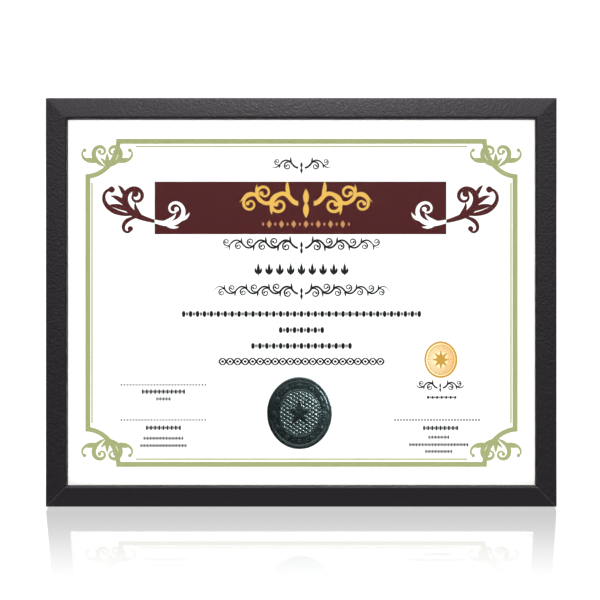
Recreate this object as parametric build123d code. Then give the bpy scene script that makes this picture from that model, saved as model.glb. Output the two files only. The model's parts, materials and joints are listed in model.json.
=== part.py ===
"""A free-standing certificate frame for a 14 x 11 inch landscape sheet.

Four mitred rails of one bevelled moulding are pinned at the corners with V-nails. Their rabbet
holds a stack: glass, certificate with an embossed seal, filler card and back board. Four turn
buttons on the long rails keep the board in. A strut on a stopped hinge props the frame up, and a
sawtooth hanger and two bumpers serve it on a wall.

Every piece is drawn in an upright frame: X across, Y from the face (0) to the rear, Z up from
the bottom edge. At the end it all leans back by LEAN_DEG and stands on the floor at Z 0, with
the origin under the middle of the bounding box. Lengths are in millimetres.
"""

import os
from math import cos, pi, radians, sin

from build123d import *

# The sheet and how the moulding holds it
SHEET_WIDTH = 355.6
SHEET_HEIGHT = 279.4
LIP_COVER = 3.0
RABBET_PLAY = 1.0

# The moulding, as its section shows it
RAIL_WIDTH = 16.0
LIP_THICKNESS = 6.0
FACE_DROP_OUTER = 2.2
FACE_BULGE = 0.15
OUTER_ARRIS_R = 1.3
SIGHT_ARRIS_R = 1.8
REAR_ARRIS_R = 0.5

# The stack in the rabbet, from the face to the rear
GLASS_THICKNESS = 2.0
SEAL_THICKNESS = 0.6
PAPER_THICKNESS = 0.3
CARD_THICKNESS = 1.6
BOARD_THICKNESS = 3.0

# The embossed seal: an oval, with its centre measured from the middle of the frame
SEAL_WIDTH = 48.8
SEAL_HEIGHT = 54.2
SEAL_RIGHT_OF_MIDDLE = -1.5
SEAL_ABOVE_MIDDLE = -83.1
SEAL_BASE = 0.25
SEAL_RELIEF = 0.2

# What is stamped in the seal, as shares of its half width and half height
SEAL_RIM_OUTER = 0.985
SEAL_RIM_INNER = 0.93
SUNBURST_RAYS = 24
SUNBURST_TIP = 0.66
SUNBURST_NOTCH = 0.5
STAR_POINTS = 5
STAR_TIP = 0.42
STAR_NOTCH = 0.18

# Stance
LEAN_DEG = 12.0
STRUT_OPEN_DEG = 21.0

# V-nails
NAIL_LEG = 4.6
NAIL_CURL = 0.8
NAIL_METAL = 0.6
NAIL_HEIGHT = 8.0
NAIL_SUNK = 0.5
NAIL_INSETS = (3.4, 7.4)

# Turn buttons and their screws
BUTTON_METAL = 0.9
BUTTON_PIVOT_R = 3.75
BUTTON_TIP_R = 3.0
BUTTON_REACH = 13.0
BUTTON_BEND_AT = 11.5
BUTTON_TIP_RISE = 1.0
BUTTON_GAP = 0.05
BUTTON_SPACING = 210.0
SCREW_SHANK_R = 1.3
SCREW_HEAD_R = 2.8
SCREW_HEAD_H = 1.5
SCREW_LENGTH = 8.5
SCREW_SLOT_LENGTH = 3.2
SCREW_SLOT_WIDTH = 0.8
SCREW_SLOT_DEPTH = 0.8

# Hinge and strut
HINGE_HEIGHT = 215.0
PIN_R = 1.0
PIN_LENGTH = 27.0
KNUCKLE_R = 1.9
KNUCKLE_BORE_R = 1.05
KNUCKLE_MID_HALF = 6.0
KNUCKLE_GAP = 0.2
KNUCKLE_OUTER_END = 13.0
LEAF_METAL = 0.8
LEAF_WIDTH = 34.0
LEAF_HEIGHT = 20.0
LEAF_START = 2.4
LEAF_CLIP = 4.0
STOP_WIDTH = 8.0
STOP_START = 1.0
STOP_END = 9.0
STOP_GAP = 0.05
STRUT_THICKNESS = 3.0
STRUT_CLEAR = 0.3
STRUT_TOP_WIDTH = 46.0
STRUT_FOOT_WIDTH = 84.0
STRUT_WAIST_WIDTH = 56.0
STRUT_TOP_GAP = 2.8
STRUT_CORNER_R = 5.0
RIVET_R = 1.4
RIVET_HEAD_R = 2.7
RIVET_HEAD_H = 0.9
RIVET_SPACING = 21.0
RIVET_FROM_PIN = 12.0

# Sawtooth hanger, its nails, and the wall bumpers
HANGER_LENGTH = 44.0
HANGER_HEIGHT = 9.0
HANGER_METAL = 0.7
HANGER_RISE = 1.9
HANGER_FLAT_END = 9.0
HANGER_RAMP = 2.5
TOOTH_PITCH = 2.2
TOOTH_DEPTH = 1.6
TOOTH_COUNT = 9
TACK_R = 0.65
TACK_HEAD_R = 1.6
TACK_HEAD_H = 0.6
TACK_LENGTH = 8.0
BUMPER_R = 4.0
BUMPER_TOP_R = 3.2
BUMPER_HEIGHT = 2.4
BUMPER_SKIRT = 1.4
BUMPER_FROM_END = 24.0

# Working allowances
FIT = 0.02  # room round a shank that is driven into wood
OVERLAP = 0.01  # how far a tongue runs into the plate that it grows from
PAST = 1.0  # how far a cutter runs past what it cuts

# What follows from the driving dimensions
SIGHT_WIDTH = SHEET_WIDTH - 2 * LIP_COVER
SIGHT_HEIGHT = SHEET_HEIGHT - 2 * LIP_COVER
OUTER_WIDTH = SIGHT_WIDTH + 2 * RAIL_WIDTH
OUTER_HEIGHT = SIGHT_HEIGHT + 2 * RAIL_WIDTH
REAR_STRIP = RAIL_WIDTH - LIP_COVER - RABBET_PLAY
GLASS_REAR = LIP_THICKNESS + GLASS_THICKNESS
PAPER_FRONT = GLASS_REAR + SEAL_THICKNESS
CARD_FRONT = PAPER_FRONT + PAPER_THICKNESS
BOARD_FRONT = CARD_FRONT + CARD_THICKNESS
REAR = BOARD_FRONT + BOARD_THICKNESS
PIVOT_INSET = REAR_STRIP / 2
PIN_Y = REAR + STRUT_CLEAR + KNUCKLE_R
STRUT_INNER = REAR + STRUT_CLEAR
STRUT_OUTER = STRUT_INNER + STRUT_THICKNESS
BOARD_RIVETS = [(side * RIVET_SPACING / 2, HINGE_HEIGHT + RIVET_FROM_PIN) for side in (-1, 1)]
STRUT_RIVETS = [(side * RIVET_SPACING / 2, HINGE_HEIGHT - RIVET_FROM_PIN) for side in (-1, 1)]
HANGER_FOOT_Z = OUTER_HEIGHT - PIVOT_INSET - HANGER_HEIGHT / 2
HANGER_TACKS = [(side * (HANGER_LENGTH - HANGER_FLAT_END) / 2, HANGER_HEIGHT / 2) for side in (-1, 1)]


def rear_view(y):
    """The plane at depth y on which a sketch's axes are the frame's X and Z."""
    return Plane(origin=(0, y, 0), x_dir=(1, 0, 0), z_dir=(0, -1, 0))


def slab(sketch, y_front, y_rear):
    """A sketch in X and Z given thickness from y_front back to y_rear."""
    return extrude(rear_view(y_front) * sketch, amount=y_front - y_rear)


def turned(*outline):
    """A closed outline of radius and depth, revolved about an axis along Y through the origin."""
    return revolve(Plane.XY * make_face(Polyline(*outline, close=True)), Axis.Y)


def nearest_corner(face, point):
    """The corner of a face on the XY plane that lies nearest to a point."""
    return face.vertices().sort_by_distance((*point, 0))[0]


def moulding_section():
    """The moulding's section: a gently domed bevel, rounded arrises, and the rabbet behind the lip."""
    outer_front = (FACE_DROP_OUTER, 0)
    middle = (FACE_DROP_OUTER / 2 - FACE_BULGE, RAIL_WIDTH / 2)
    sight_front = (0, RAIL_WIDTH)
    rear = (REAR, 0)
    outline = [
        ThreePointArc(outer_front, middle, sight_front),
        Polyline(
            sight_front,
            (LIP_THICKNESS, RAIL_WIDTH),
            (LIP_THICKNESS, REAR_STRIP),
            (REAR, REAR_STRIP),
            rear,
            outer_front,
        ),
    ]
    section = make_face(outline)
    for corner, radius in ((outer_front, OUTER_ARRIS_R), (sight_front, SIGHT_ARRIS_R), (rear, REAR_ARRIS_R)):
        section = fillet(nearest_corner(section, corner), radius)
    return section


def mitred_rail(outer_length):
    """One rail with its outer edge on Z 0 and its sight edge up, mitred at 45 degrees at both ends."""
    rail = extrude(Plane.YZ * moulding_section(), amount=outer_length / 2, both=True)
    for side in (-1, 1):
        mitre = Plane(origin=(side * outer_length / 2, 0, 0), z_dir=(side, 0, 1))
        rail = split(rail, bisect_by=mitre, keep=Keep.BOTTOM)
    return rail


# Where each rail stands, and which way its sight edge faces
RAIL_PLACES = {
    "bottom": (Pos(0, 0, 0), OUTER_WIDTH),
    "top": (Pos(0, 0, OUTER_HEIGHT) * Rot(Y=180), OUTER_WIDTH),
    "left": (Pos(-OUTER_WIDTH / 2, 0, OUTER_HEIGHT / 2) * Rot(Y=90), OUTER_HEIGHT),
    "right": (Pos(OUTER_WIDTH / 2, 0, OUTER_HEIGHT / 2) * Rot(Y=-90), OUTER_HEIGHT),
}


def v_nail(inset):
    """One V-nail at the lower left corner: two legs along the rails, with curled ends."""
    curl = NAIL_CURL
    bend = Polyline(
        (inset + NAIL_LEG + curl, inset + curl),
        (inset + NAIL_LEG, inset),
        (inset, inset),
        (inset, inset + NAIL_LEG),
        (inset + curl, inset + NAIL_LEG + curl),
    )
    rear = REAR - NAIL_SUNK
    nail = slab(trace(bend, line_width=NAIL_METAL), rear - NAIL_HEIGHT, rear)
    return Pos(-OUTER_WIDTH / 2, 0, 0) * nail


def v_nails():
    """Two V-nails across each of the four mitres."""
    mid_height = Plane(origin=(0, 0, OUTER_HEIGHT / 2), z_dir=(0, 0, 1))
    nails = [v_nail(inset) for inset in NAIL_INSETS]
    nails += [mirror(nail, about=Plane.YZ) for nail in nails]
    nails += [mirror(nail, about=mid_height) for nail in nails]
    return nails


def sheet(y_front, y_rear):
    """One full-size leaf of the stack, its lower edge on the floor of the rabbet."""
    middle = Pos(0, REAR_STRIP + SHEET_HEIGHT / 2)
    return slab(middle * Rectangle(SHEET_WIDTH, SHEET_HEIGHT), y_front, y_rear)


def ray_star(tip_share, notch_share, points):
    """A pointed star whose tips and notches lie on ovals of the seal's proportions."""
    outline = []
    for step in range(2 * points):
        share = notch_share if step % 2 else tip_share
        turn = pi / 2 + step * pi / points
        outline.append((share * SEAL_WIDTH / 2 * cos(turn), share * SEAL_HEIGHT / 2 * sin(turn)))
    return make_face(Polyline(*outline, close=True))


def oval(share):
    """An oval of the seal's proportions."""
    return Ellipse(share * SEAL_WIDTH / 2, share * SEAL_HEIGHT / 2)


def faceted(sketch, y_foot, y_peak):
    """A low pyramid on a sketch in X and Z, with a ridge to each corner, that peaks on the origin's axis."""
    return loft([rear_view(y_foot) * sketch, Vertex(0, y_peak, 0)], ruled=True)


def foil_seal():
    """An oval foil wafer: a rolled rim, a sunburst field and a faceted star that meets the glass."""
    relief_front = PAPER_FRONT - SEAL_BASE - SEAL_RELIEF
    seal = slab(oval(1.0), PAPER_FRONT - SEAL_BASE, PAPER_FRONT)
    seal += slab(oval(SEAL_RIM_OUTER) - oval(SEAL_RIM_INNER), relief_front, PAPER_FRONT)
    seal += slab(ray_star(SUNBURST_TIP, SUNBURST_NOTCH, SUNBURST_RAYS), relief_front, PAPER_FRONT)
    seal += faceted(ray_star(STAR_TIP, STAR_NOTCH, STAR_POINTS), relief_front, GLASS_REAR)
    place = Pos(SEAL_RIGHT_OF_MIDDLE, 0, OUTER_HEIGHT / 2 + SEAL_ABOVE_MIDDLE)
    return place * seal


def turn_button():
    """A turn button with its pivot at the origin, pointing up, its tip bent clear for a finger."""
    rim = CenterArc((0, 0), BUTTON_PIVOT_R, 0, 360) + CenterArc((0, BUTTON_REACH), BUTTON_TIP_R, 0, 360)
    plan = make_hull(rim.edges()) - Circle(SCREW_SHANK_R + BUTTON_GAP)
    tip = BUTTON_REACH + BUTTON_TIP_R
    slope = BUTTON_TIP_RISE / (tip - BUTTON_BEND_AT)
    far, near = tip + PAST, -BUTTON_PIVOT_R - PAST
    rise = slope * (far - BUTTON_BEND_AT)
    strip = Polyline(
        (0, near),
        (0, BUTTON_BEND_AT),
        (rise, far),
        (rise + BUTTON_METAL, far),
        (BUTTON_METAL, BUTTON_BEND_AT),
        (BUTTON_METAL, near),
        close=True,
    )
    bent = extrude(Plane.YZ * make_face(strip), amount=BUTTON_PIVOT_R + PAST, both=True)
    blank = slab(plan, -PAST, rise + BUTTON_METAL + PAST)
    return Pos(0, REAR + BUTTON_GAP, 0) * (bent & blank)


def headed_shank(under_head, head_r, head_h, shank_r, tip):
    """A fastener along the Y axis: a round head on y under_head, and a shank forward to y tip."""
    top = under_head + head_h
    shank = ((0, tip), (shank_r, tip), (shank_r, under_head))
    return turned((0, top), *shank, (head_r, under_head), (head_r, top))


def button_screw():
    """A pan-head screw with a crossed slot."""
    under_head = REAR + BUTTON_METAL + 2 * BUTTON_GAP
    screw = headed_shank(under_head, SCREW_HEAD_R, SCREW_HEAD_H, SCREW_SHANK_R, under_head - SCREW_LENGTH)
    slot = Pos(0, under_head + SCREW_HEAD_H - SCREW_SLOT_DEPTH / 2, 0)
    for across, up in ((SCREW_SLOT_LENGTH, SCREW_SLOT_WIDTH), (SCREW_SLOT_WIDTH, SCREW_SLOT_LENGTH)):
        screw -= slot * Box(across, SCREW_SLOT_DEPTH, up)
    return screw


def button_places():
    """Each turn button's name and the place of its pivot, with the button pointing inwards."""
    half = BUTTON_SPACING / 2
    top_z = OUTER_HEIGHT - PIVOT_INSET
    return {
        "bottom_left": Pos(-half, 0, PIVOT_INSET),
        "bottom_right": Pos(half, 0, PIVOT_INSET),
        "top_left": Pos(-half, 0, top_z) * Rot(Y=180),
        "top_right": Pos(half, 0, top_z) * Rot(Y=180),
    }


def shank_bore(radius, length, y_rear):
    """The hole that a driven shank of this radius needs, ending length in front of y_rear."""
    bore = Circle(radius + FIT)
    return slab(bore, y_rear - length - FIT, y_rear + PAST)


def rivet(under_head, y_tail):
    """A rivet whose tail is set flush with the board's other face."""
    return headed_shank(under_head, RIVET_HEAD_R, RIVET_HEAD_H, RIVET_R, y_tail)


def rivet_hole(y_front, y_rear):
    """What a rivet's shank takes out of a piece that lies between two depths."""
    return slab(Circle(RIVET_R + FIT), y_front - PAST, y_rear + PAST)


def knuckle(x_from, x_to):
    """One length of the hinge's rolled barrel, with the pin's bore through it."""
    middle, length = (x_from + x_to) / 2, x_to - x_from
    ring = Circle(KNUCKLE_R) - Circle(KNUCKLE_BORE_R)
    return Pos(middle, PIN_Y, HINGE_HEIGHT) * extrude(Plane.YZ * ring, amount=length / 2, both=True)


def leaf_outline(sign, tongue_from, tongue_to):
    """A leaf on one side of the pin: a plate with clipped corners, and tongues that become knuckles."""
    far, near = sign * LEAF_HEIGHT, sign * LEAF_START
    shoulder = far - sign * LEAF_CLIP
    half = LEAF_WIDTH / 2
    clipped = half - LEAF_CLIP
    plate = make_face(
        Polyline(
            (-half, near),
            (half, near),
            (half, shoulder),
            (clipped, far),
            (-clipped, far),
            (-half, shoulder),
            close=True,
        )
    )
    for x_from, x_to in zip(tongue_from, tongue_to):
        plate += Pos((x_from + x_to) / 2, near / 2) * Rectangle(x_to - x_from, LEAF_START + 2 * OVERLAP)
    return Pos(0, HINGE_HEIGHT) * plate


def pin_cut():
    """The pin's bore, cut through whatever the knuckles are joined to."""
    bore = extrude(Plane.YZ * Circle(KNUCKLE_BORE_R), amount=LEAF_WIDTH, both=True)
    return Pos(0, PIN_Y, HINGE_HEIGHT) * bore


def at_points(shape, points):
    """Copies of a shape, each moved to a point in X and Z."""
    return [Pos(x, 0, z) * shape for x, z in points]


def hinge_board_leaf():
    """The leaf on the board, above the pin, with the two outer knuckles."""
    start, end = KNUCKLE_MID_HALF + KNUCKLE_GAP, KNUCKLE_OUTER_END
    plate = slab(leaf_outline(1, (-end, start), (-start, end)), REAR, REAR + LEAF_METAL)
    leaf = plate + knuckle(start, end) + knuckle(-end, -start) - pin_cut()
    for hole in at_points(rivet_hole(REAR, REAR + LEAF_METAL), BOARD_RIVETS):
        leaf -= hole
    return leaf


def hinge_strut_leaf():
    """The leaf on the strut's outer face, with the middle knuckle and the stop that limits the opening.

    It is drawn folded. The stop is drawn where it lands, on the board leaf, and then folded with the rest.
    """
    half = KNUCKLE_MID_HALF
    leaf = slab(leaf_outline(-1, (-half,), (half,)), STRUT_OUTER, STRUT_OUTER + LEAF_METAL)
    leaf += knuckle(-half, half)
    stop_y = REAR + LEAF_METAL + STOP_GAP
    stop = Pos(0, HINGE_HEIGHT + (STOP_START + STOP_END) / 2) * Rectangle(STOP_WIDTH, STOP_END - STOP_START)
    leaf += about_pin(-STRUT_OPEN_DEG) * slab(stop, stop_y, stop_y + LEAF_METAL)
    leaf -= pin_cut()
    for hole in at_points(rivet_hole(STRUT_OUTER, STRUT_OUTER + LEAF_METAL), STRUT_RIVETS):
        leaf -= hole
    return leaf


def about_pin(degrees):
    """A turn about the hinge pin. Positive opens the strut."""
    return Pos(0, PIN_Y, HINGE_HEIGHT) * Rot(X=degrees) * Pos(0, -PIN_Y, -HINGE_HEIGHT)


def floor_lift():
    """How far the leaned frame is raised so that its rounded rear bottom arris touches the floor."""
    lean = radians(LEAN_DEG)
    centre_y, centre_z = REAR - REAR_ARRIS_R, REAR_ARRIS_R
    return centre_y * sin(lean) - centre_z * cos(lean) + REAR_ARRIS_R


def strut_length():
    """From the pin to the strut's foot, so that the foot's inner arris just meets the floor."""
    lean, splay = radians(LEAN_DEG), radians(STRUT_OPEN_DEG - LEAN_DEG)
    pin_height = floor_lift() + HINGE_HEIGHT * cos(lean) - PIN_Y * sin(lean)
    inner_offset = PIN_Y - STRUT_INNER
    return (pin_height - inner_offset * sin(splay)) / cos(splay)


def easel_strut():
    """The strut, folded: narrow at the hinge, waisted, and splayed at the foot."""
    top_z = HINGE_HEIGHT - STRUT_TOP_GAP
    foot_z = HINGE_HEIGHT - strut_length()
    mid_z = (top_z + foot_z) / 2
    top, waist, foot = STRUT_TOP_WIDTH / 2, STRUT_WAIST_WIDTH / 2, STRUT_FOOT_WIDTH / 2
    outline = [
        Line((-top, top_z), (top, top_z)),
        ThreePointArc((top, top_z), (waist, mid_z), (foot, foot_z)),
        Line((foot, foot_z), (-foot, foot_z)),
        ThreePointArc((-foot, foot_z), (-waist, mid_z), (-top, top_z)),
    ]
    plan = make_face(outline)
    plan = fillet(plan.vertices().sort_by(Axis.Y)[-2:], STRUT_CORNER_R)
    strut = slab(plan, STRUT_INNER, STRUT_OUTER)
    for hole in at_points(rivet_hole(STRUT_INNER, STRUT_OUTER), STRUT_RIVETS):
        strut -= hole
    return strut


def sawtooth_hanger():
    """A nailed steel strip whose raised middle has a row of teeth along its lower edge."""
    half = HANGER_LENGTH / 2
    flat, ramp = half - HANGER_FLAT_END, half - HANGER_FLAT_END - HANGER_RAMP
    metal, rise = HANGER_METAL, HANGER_RISE
    bend = Polyline(
        (-half, 0),
        (-flat, 0),
        (-ramp, rise),
        (ramp, rise),
        (flat, 0),
        (half, 0),
        (half, metal),
        (flat, metal),
        (ramp, rise + metal),
        (-ramp, rise + metal),
        (-flat, metal),
        (-half, metal),
        close=True,
    )
    strip = extrude(Plane.XY * make_face(bend), amount=HANGER_HEIGHT)
    notch = Polyline((-TOOTH_PITCH / 2, 0), (0, TOOTH_DEPTH), (TOOTH_PITCH / 2, 0), close=True)
    cutter = slab(make_face(notch), -PAST, rise + metal + PAST)
    for tooth in range(TOOTH_COUNT):
        strip -= Pos((tooth - (TOOTH_COUNT - 1) / 2) * TOOTH_PITCH, 0, 0) * cutter
    for x, z in HANGER_TACKS:
        strip -= Pos(x, 0, z) * slab(Circle(TACK_R + FIT), -PAST, metal + PAST)
    return Pos(0, REAR, HANGER_FOOT_Z) * strip


def hanger_tack():
    """A flat-headed tack through the hanger's flat end."""
    under_head = REAR + HANGER_METAL
    return headed_shank(under_head, TACK_HEAD_R, TACK_HEAD_H, TACK_R, under_head - TACK_LENGTH)


def bumper():
    """A rubber bumper with a tapered top."""
    skirt, top = REAR + BUMPER_SKIRT, REAR + BUMPER_HEIGHT
    return turned((0, top), (0, REAR), (BUMPER_R, REAR), (BUMPER_R, skirt), (BUMPER_TOP_R, top))


def rails(nails, screw_bores, tack_bores):
    """The four rails, with slots for the V-nails and bores for the screws and tacks."""
    cutters = {side: list(nails) + list(screw_bores) for side in RAIL_PLACES}
    cutters["top"] += tack_bores
    made = {}
    for side, (place, length) in RAIL_PLACES.items():
        rail = place * mitred_rail(length)
        box = rail.bounding_box()
        for cutter in cutters[side]:
            if box.overlaps(cutter.bounding_box()):
                rail -= cutter
        made[f"rail_{side}"] = rail
    return made


def build_upright():
    """Every node in the upright frame, with the strut already open."""
    nails = v_nails()
    pivots = button_places()
    screw_bore = shank_bore(SCREW_SHANK_R, SCREW_LENGTH - BUTTON_METAL - 2 * BUTTON_GAP, REAR)
    screw_bores = [place * screw_bore for place in pivots.values()]
    tack_points = [(x, HANGER_FOOT_Z + z) for x, z in HANGER_TACKS]
    tack_bores = at_points(shank_bore(TACK_R, TACK_LENGTH - HANGER_METAL, REAR), tack_points)

    nodes = rails(nails, screw_bores, tack_bores)
    nodes["corner_v_nails"] = Compound(nails)
    nodes["glass"] = sheet(LIP_THICKNESS, GLASS_REAR)
    nodes["certificate"] = sheet(PAPER_FRONT, CARD_FRONT)
    nodes["foil_seal"] = foil_seal()
    nodes["filler_card"] = sheet(CARD_FRONT, BOARD_FRONT)

    board = sheet(BOARD_FRONT, REAR)
    for hole in at_points(rivet_hole(BOARD_FRONT, REAR), BOARD_RIVETS):
        board -= hole
    nodes["back_board"] = board

    for name, place in pivots.items():
        nodes[f"turn_button_{name}"] = place * turn_button()
    nodes["turn_button_screws"] = Compound([place * button_screw() for place in pivots.values()])

    nodes["hinge_board_leaf"] = hinge_board_leaf()
    pin = extrude(Plane.YZ * Circle(PIN_R), amount=PIN_LENGTH / 2, both=True)
    nodes["hinge_pin"] = Pos(0, PIN_Y, HINGE_HEIGHT) * pin
    board_rivet = rivet(REAR + LEAF_METAL, BOARD_FRONT)
    nodes["hinge_board_rivets"] = Compound(at_points(board_rivet, BOARD_RIVETS))

    opened = about_pin(STRUT_OPEN_DEG)
    strut_rivet = rivet(STRUT_OUTER + LEAF_METAL, STRUT_INNER)
    nodes["easel_strut"] = opened * easel_strut()
    nodes["hinge_strut_leaf"] = opened * hinge_strut_leaf()
    rivets = [opened * one for one in at_points(strut_rivet, STRUT_RIVETS)]
    nodes["hinge_strut_rivets"] = Compound(rivets)

    nodes["sawtooth_hanger"] = sawtooth_hanger()
    nodes["hanger_tacks"] = Compound(at_points(hanger_tack(), tack_points))
    for side, name in ((-1, "left"), (1, "right")):
        place = Pos(side * (OUTER_WIDTH / 2 - BUMPER_FROM_END), 0, PIVOT_INSET)
        nodes[f"wall_bumper_{name}"] = place * bumper()
    return nodes


def stance(nodes):
    """The move from the upright frame to the final one: leaned back, on the floor and centred."""
    lean = Pos(0, 0, floor_lift()) * Rot(X=-LEAN_DEG)
    boxes = [(lean * node).bounding_box() for node in nodes.values()]
    front = min(box.min.Y for box in boxes)
    rear = max(box.max.Y for box in boxes)
    return Pos(0, -(front + rear) / 2, 0) * lean


def key_points():
    """The places in the upright frame that joints and mounts refer to."""
    points = {
        "hinge pin": Pos(0, PIN_Y, HINGE_HEIGHT),
        "hanger notch": Pos(0, REAR + HANGER_RISE + HANGER_METAL / 2, HANGER_FOOT_Z + TOOTH_DEPTH),
        "bottom face": Pos(0, REAR / 2, 0),
    }
    for name, pivot in button_places().items():
        points[f"pivot {name}"] = pivot * Pos(0, REAR, 0)
    return points


def main():
    """Write each node's STEP file and print where the joints and mounts come out, in metres."""
    os.makedirs("parts", exist_ok=True)
    nodes = build_upright()
    place = stance(nodes)
    for name, node in nodes.items():
        export_step(place * node, f"parts/{name}.step")
    for name, point in key_points().items():
        at = (place * point).position / 1000
        print(f"{name}: {at.X:.6f} {at.Y:.6f} {at.Z:.6f}")


if __name__ == "__main__":
    main()
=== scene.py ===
"""Dress the certificate frame.

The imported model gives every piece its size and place. This script gives the rails their grained
lacquer, prints the certificate, embosses its seal, and puts smooth fasteners where the model
has plain ones. Shapes are worked out in millimetres in the upright frame that the object is
drawn in: X across, Y from the face to the rear, Z up from the bottom edge. Stance then leans
them back and turns them to metres.
"""

import json
import logging
from dataclasses import dataclass
from enum import Enum
from math import atan2, cos, pi, radians, sin, tau

import bmesh
import bpy
import numpy as np
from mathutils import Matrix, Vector


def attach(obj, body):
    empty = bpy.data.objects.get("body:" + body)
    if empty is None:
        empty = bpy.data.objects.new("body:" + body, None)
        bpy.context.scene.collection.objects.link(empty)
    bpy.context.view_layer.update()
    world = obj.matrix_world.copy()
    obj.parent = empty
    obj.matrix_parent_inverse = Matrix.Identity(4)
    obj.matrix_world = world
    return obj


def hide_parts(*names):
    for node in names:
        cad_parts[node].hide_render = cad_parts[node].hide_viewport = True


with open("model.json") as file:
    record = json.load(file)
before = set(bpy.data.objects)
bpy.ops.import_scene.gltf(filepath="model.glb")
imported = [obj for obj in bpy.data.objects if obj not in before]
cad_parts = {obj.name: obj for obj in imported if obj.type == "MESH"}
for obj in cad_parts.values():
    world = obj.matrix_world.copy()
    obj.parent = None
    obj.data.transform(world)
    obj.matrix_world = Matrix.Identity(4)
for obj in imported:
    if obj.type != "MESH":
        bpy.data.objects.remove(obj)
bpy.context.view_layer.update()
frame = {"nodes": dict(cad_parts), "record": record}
LOG = logging.getLogger("certificate_frame")

Pair = tuple[float, float]
Triple = tuple[float, float, float]

MM = 0.001
# Sizes in millimetres that more than one class needs.
OUTER_WIDTH = 381.6
OUTER_HEIGHT = 305.4
DEPTH = 13.5
PAPER_FACE = 8.6
BANNER_X = -0.75
SEAL_MIDDLE = (-1.5, 69.6)
# Half the width that a point of a flat shape tapers to, so that no face shrinks to nothing.
TIP = 0.02


# Places and surfaces


@dataclass(frozen=True)
class Stance:
    """Where the upright frame stands in the model: leaned back, raised and centred."""

    lean: float
    origin: Triple

    @classmethod
    def from_record(cls, record: dict, depth: float) -> "Stance":
        """Read the stance from the mount on the bottom edge, which lies halfway through the depth.

        Args:
            record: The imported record.
            depth: The moulding's depth in millimetres.

        Returns:
            The stance of the upright frame.
        """
        mount = next(m for m in record["mounts"] if m["name"] == "bottom_edge")
        lean = atan2(-mount["axis"][1], -mount["axis"][2])
        x, y, z = mount["pos_m"]
        half = depth * MM / 2
        return cls(lean, (x, y - half * cos(lean), z + half * sin(lean)))

    def place(self, points: np.ndarray) -> np.ndarray:
        """Turn upright millimetres to the model's metres: a turn about X by minus the lean, then a shift.

        Args:
            points: Rows of X, Y and Z in upright millimetres.

        Returns:
            The same rows in the model's metres.
        """
        x, y, z = (points * MM).T
        c, s = cos(self.lean), sin(self.lean)
        return np.stack([x, y * c + z * s, z * c - y * s], axis=1) + np.array(self.origin)


@dataclass
class Surface:
    """Points in upright millimetres, and faces as arrays of point numbers."""

    points: np.ndarray
    faces: list[np.ndarray]

    def __add__(self, other: "Surface") -> "Surface":
        """Both surfaces as one."""
        step = len(self.points)
        return Surface(np.vstack([self.points, other.points]), self.faces + [f + step for f in other.faces])

    def moved(self, x: float = 0.0, y: float = 0.0, z: float = 0.0) -> "Surface":
        """The surface shifted."""
        return Surface(self.points + np.array([x, y, z]), self.faces)

    def spun(self, degrees: float) -> "Surface":
        """The surface turned about the Y axis.

        Args:
            degrees: How far it turns, from +Z towards +X.

        Returns:
            The turned surface.
        """
        a = radians(degrees)
        x, y, z = self.points.T
        return Surface(np.stack([x * cos(a) + z * sin(a), y, z * cos(a) - x * sin(a)], axis=1), self.faces)

    def hinged(self, degrees: float, y: float, z: float) -> "Surface":
        """The surface turned about a pin that runs along X.

        Args:
            degrees: How far it turns, from +Y towards +Z.
            y: The pin's depth.
            z: The pin's height.

        Returns:
            The turned surface.
        """
        a = radians(degrees)
        px, py, pz = self.points.T
        py, pz = py - y, pz - z
        turned = np.stack([px, py * cos(a) - pz * sin(a) + y, py * sin(a) + pz * cos(a) + z], axis=1)
        return Surface(turned, self.faces)


def join(surfaces: list[Surface]) -> Surface:
    """All surfaces as one."""
    return sum(surfaces[1:], surfaces[0])


def grid(points: np.ndarray) -> Surface:
    """A surface over a grid of points.

    Args:
        points: An array of rows x columns x 3. A grid that closes on itself repeats its first row or column.

    Returns:
        The surface, with one four-sided face between each four neighbours.
    """
    rows, cols = points.shape[:2]
    number = np.arange(rows * cols).reshape(rows, cols)
    quads = np.stack([number[:-1, :-1], number[1:, :-1], number[1:, 1:], number[:-1, 1:]], axis=-1)
    return Surface(points.reshape(-1, 3), [quads.reshape(-1, 4)])


def lathe(profile: list[Pair], segments: int = 48) -> Surface:
    """A profile of radius and depth, carried round the Y axis.

    Args:
        profile: Pairs of radius and depth. A closed solid starts and ends at radius 0.
        segments: How many faces go round.

    Returns:
        The turned surface: x = r cos a, z = r sin a.
    """
    radius, depth = np.array(profile, float).T
    angle = np.linspace(0, tau, segments + 1)
    x = np.outer(radius, np.cos(angle))
    z = np.outer(radius, np.sin(angle))
    y = np.repeat(depth[:, None], segments + 1, axis=1)
    return grid(np.stack([x, y, z], axis=-1))


def arc_points(centre: Pair, radius: float, start: float, end: float, count: int) -> np.ndarray:
    """Points on an arc, its angles in degrees."""
    angle = np.radians(np.linspace(start, end, count))
    return np.array(centre) + radius * np.stack([np.cos(angle), np.sin(angle)], axis=1)


# Materials


def linear(code: str) -> tuple[float, float, float, float]:
    """An sRGB hex code as linear colour.

    Args:
        code: Six hex digits.

    Returns:
        Red, green, blue and an alpha of 1.
    """
    srgb = np.array([int(code[i:i + 2], 16) for i in (0, 2, 4)]) / 255
    values = np.where(srgb <= 0.04045, srgb / 12.92, ((srgb + 0.055) / 1.055) ** 2.4)
    return (*values.tolist(), 1.0)


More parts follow.
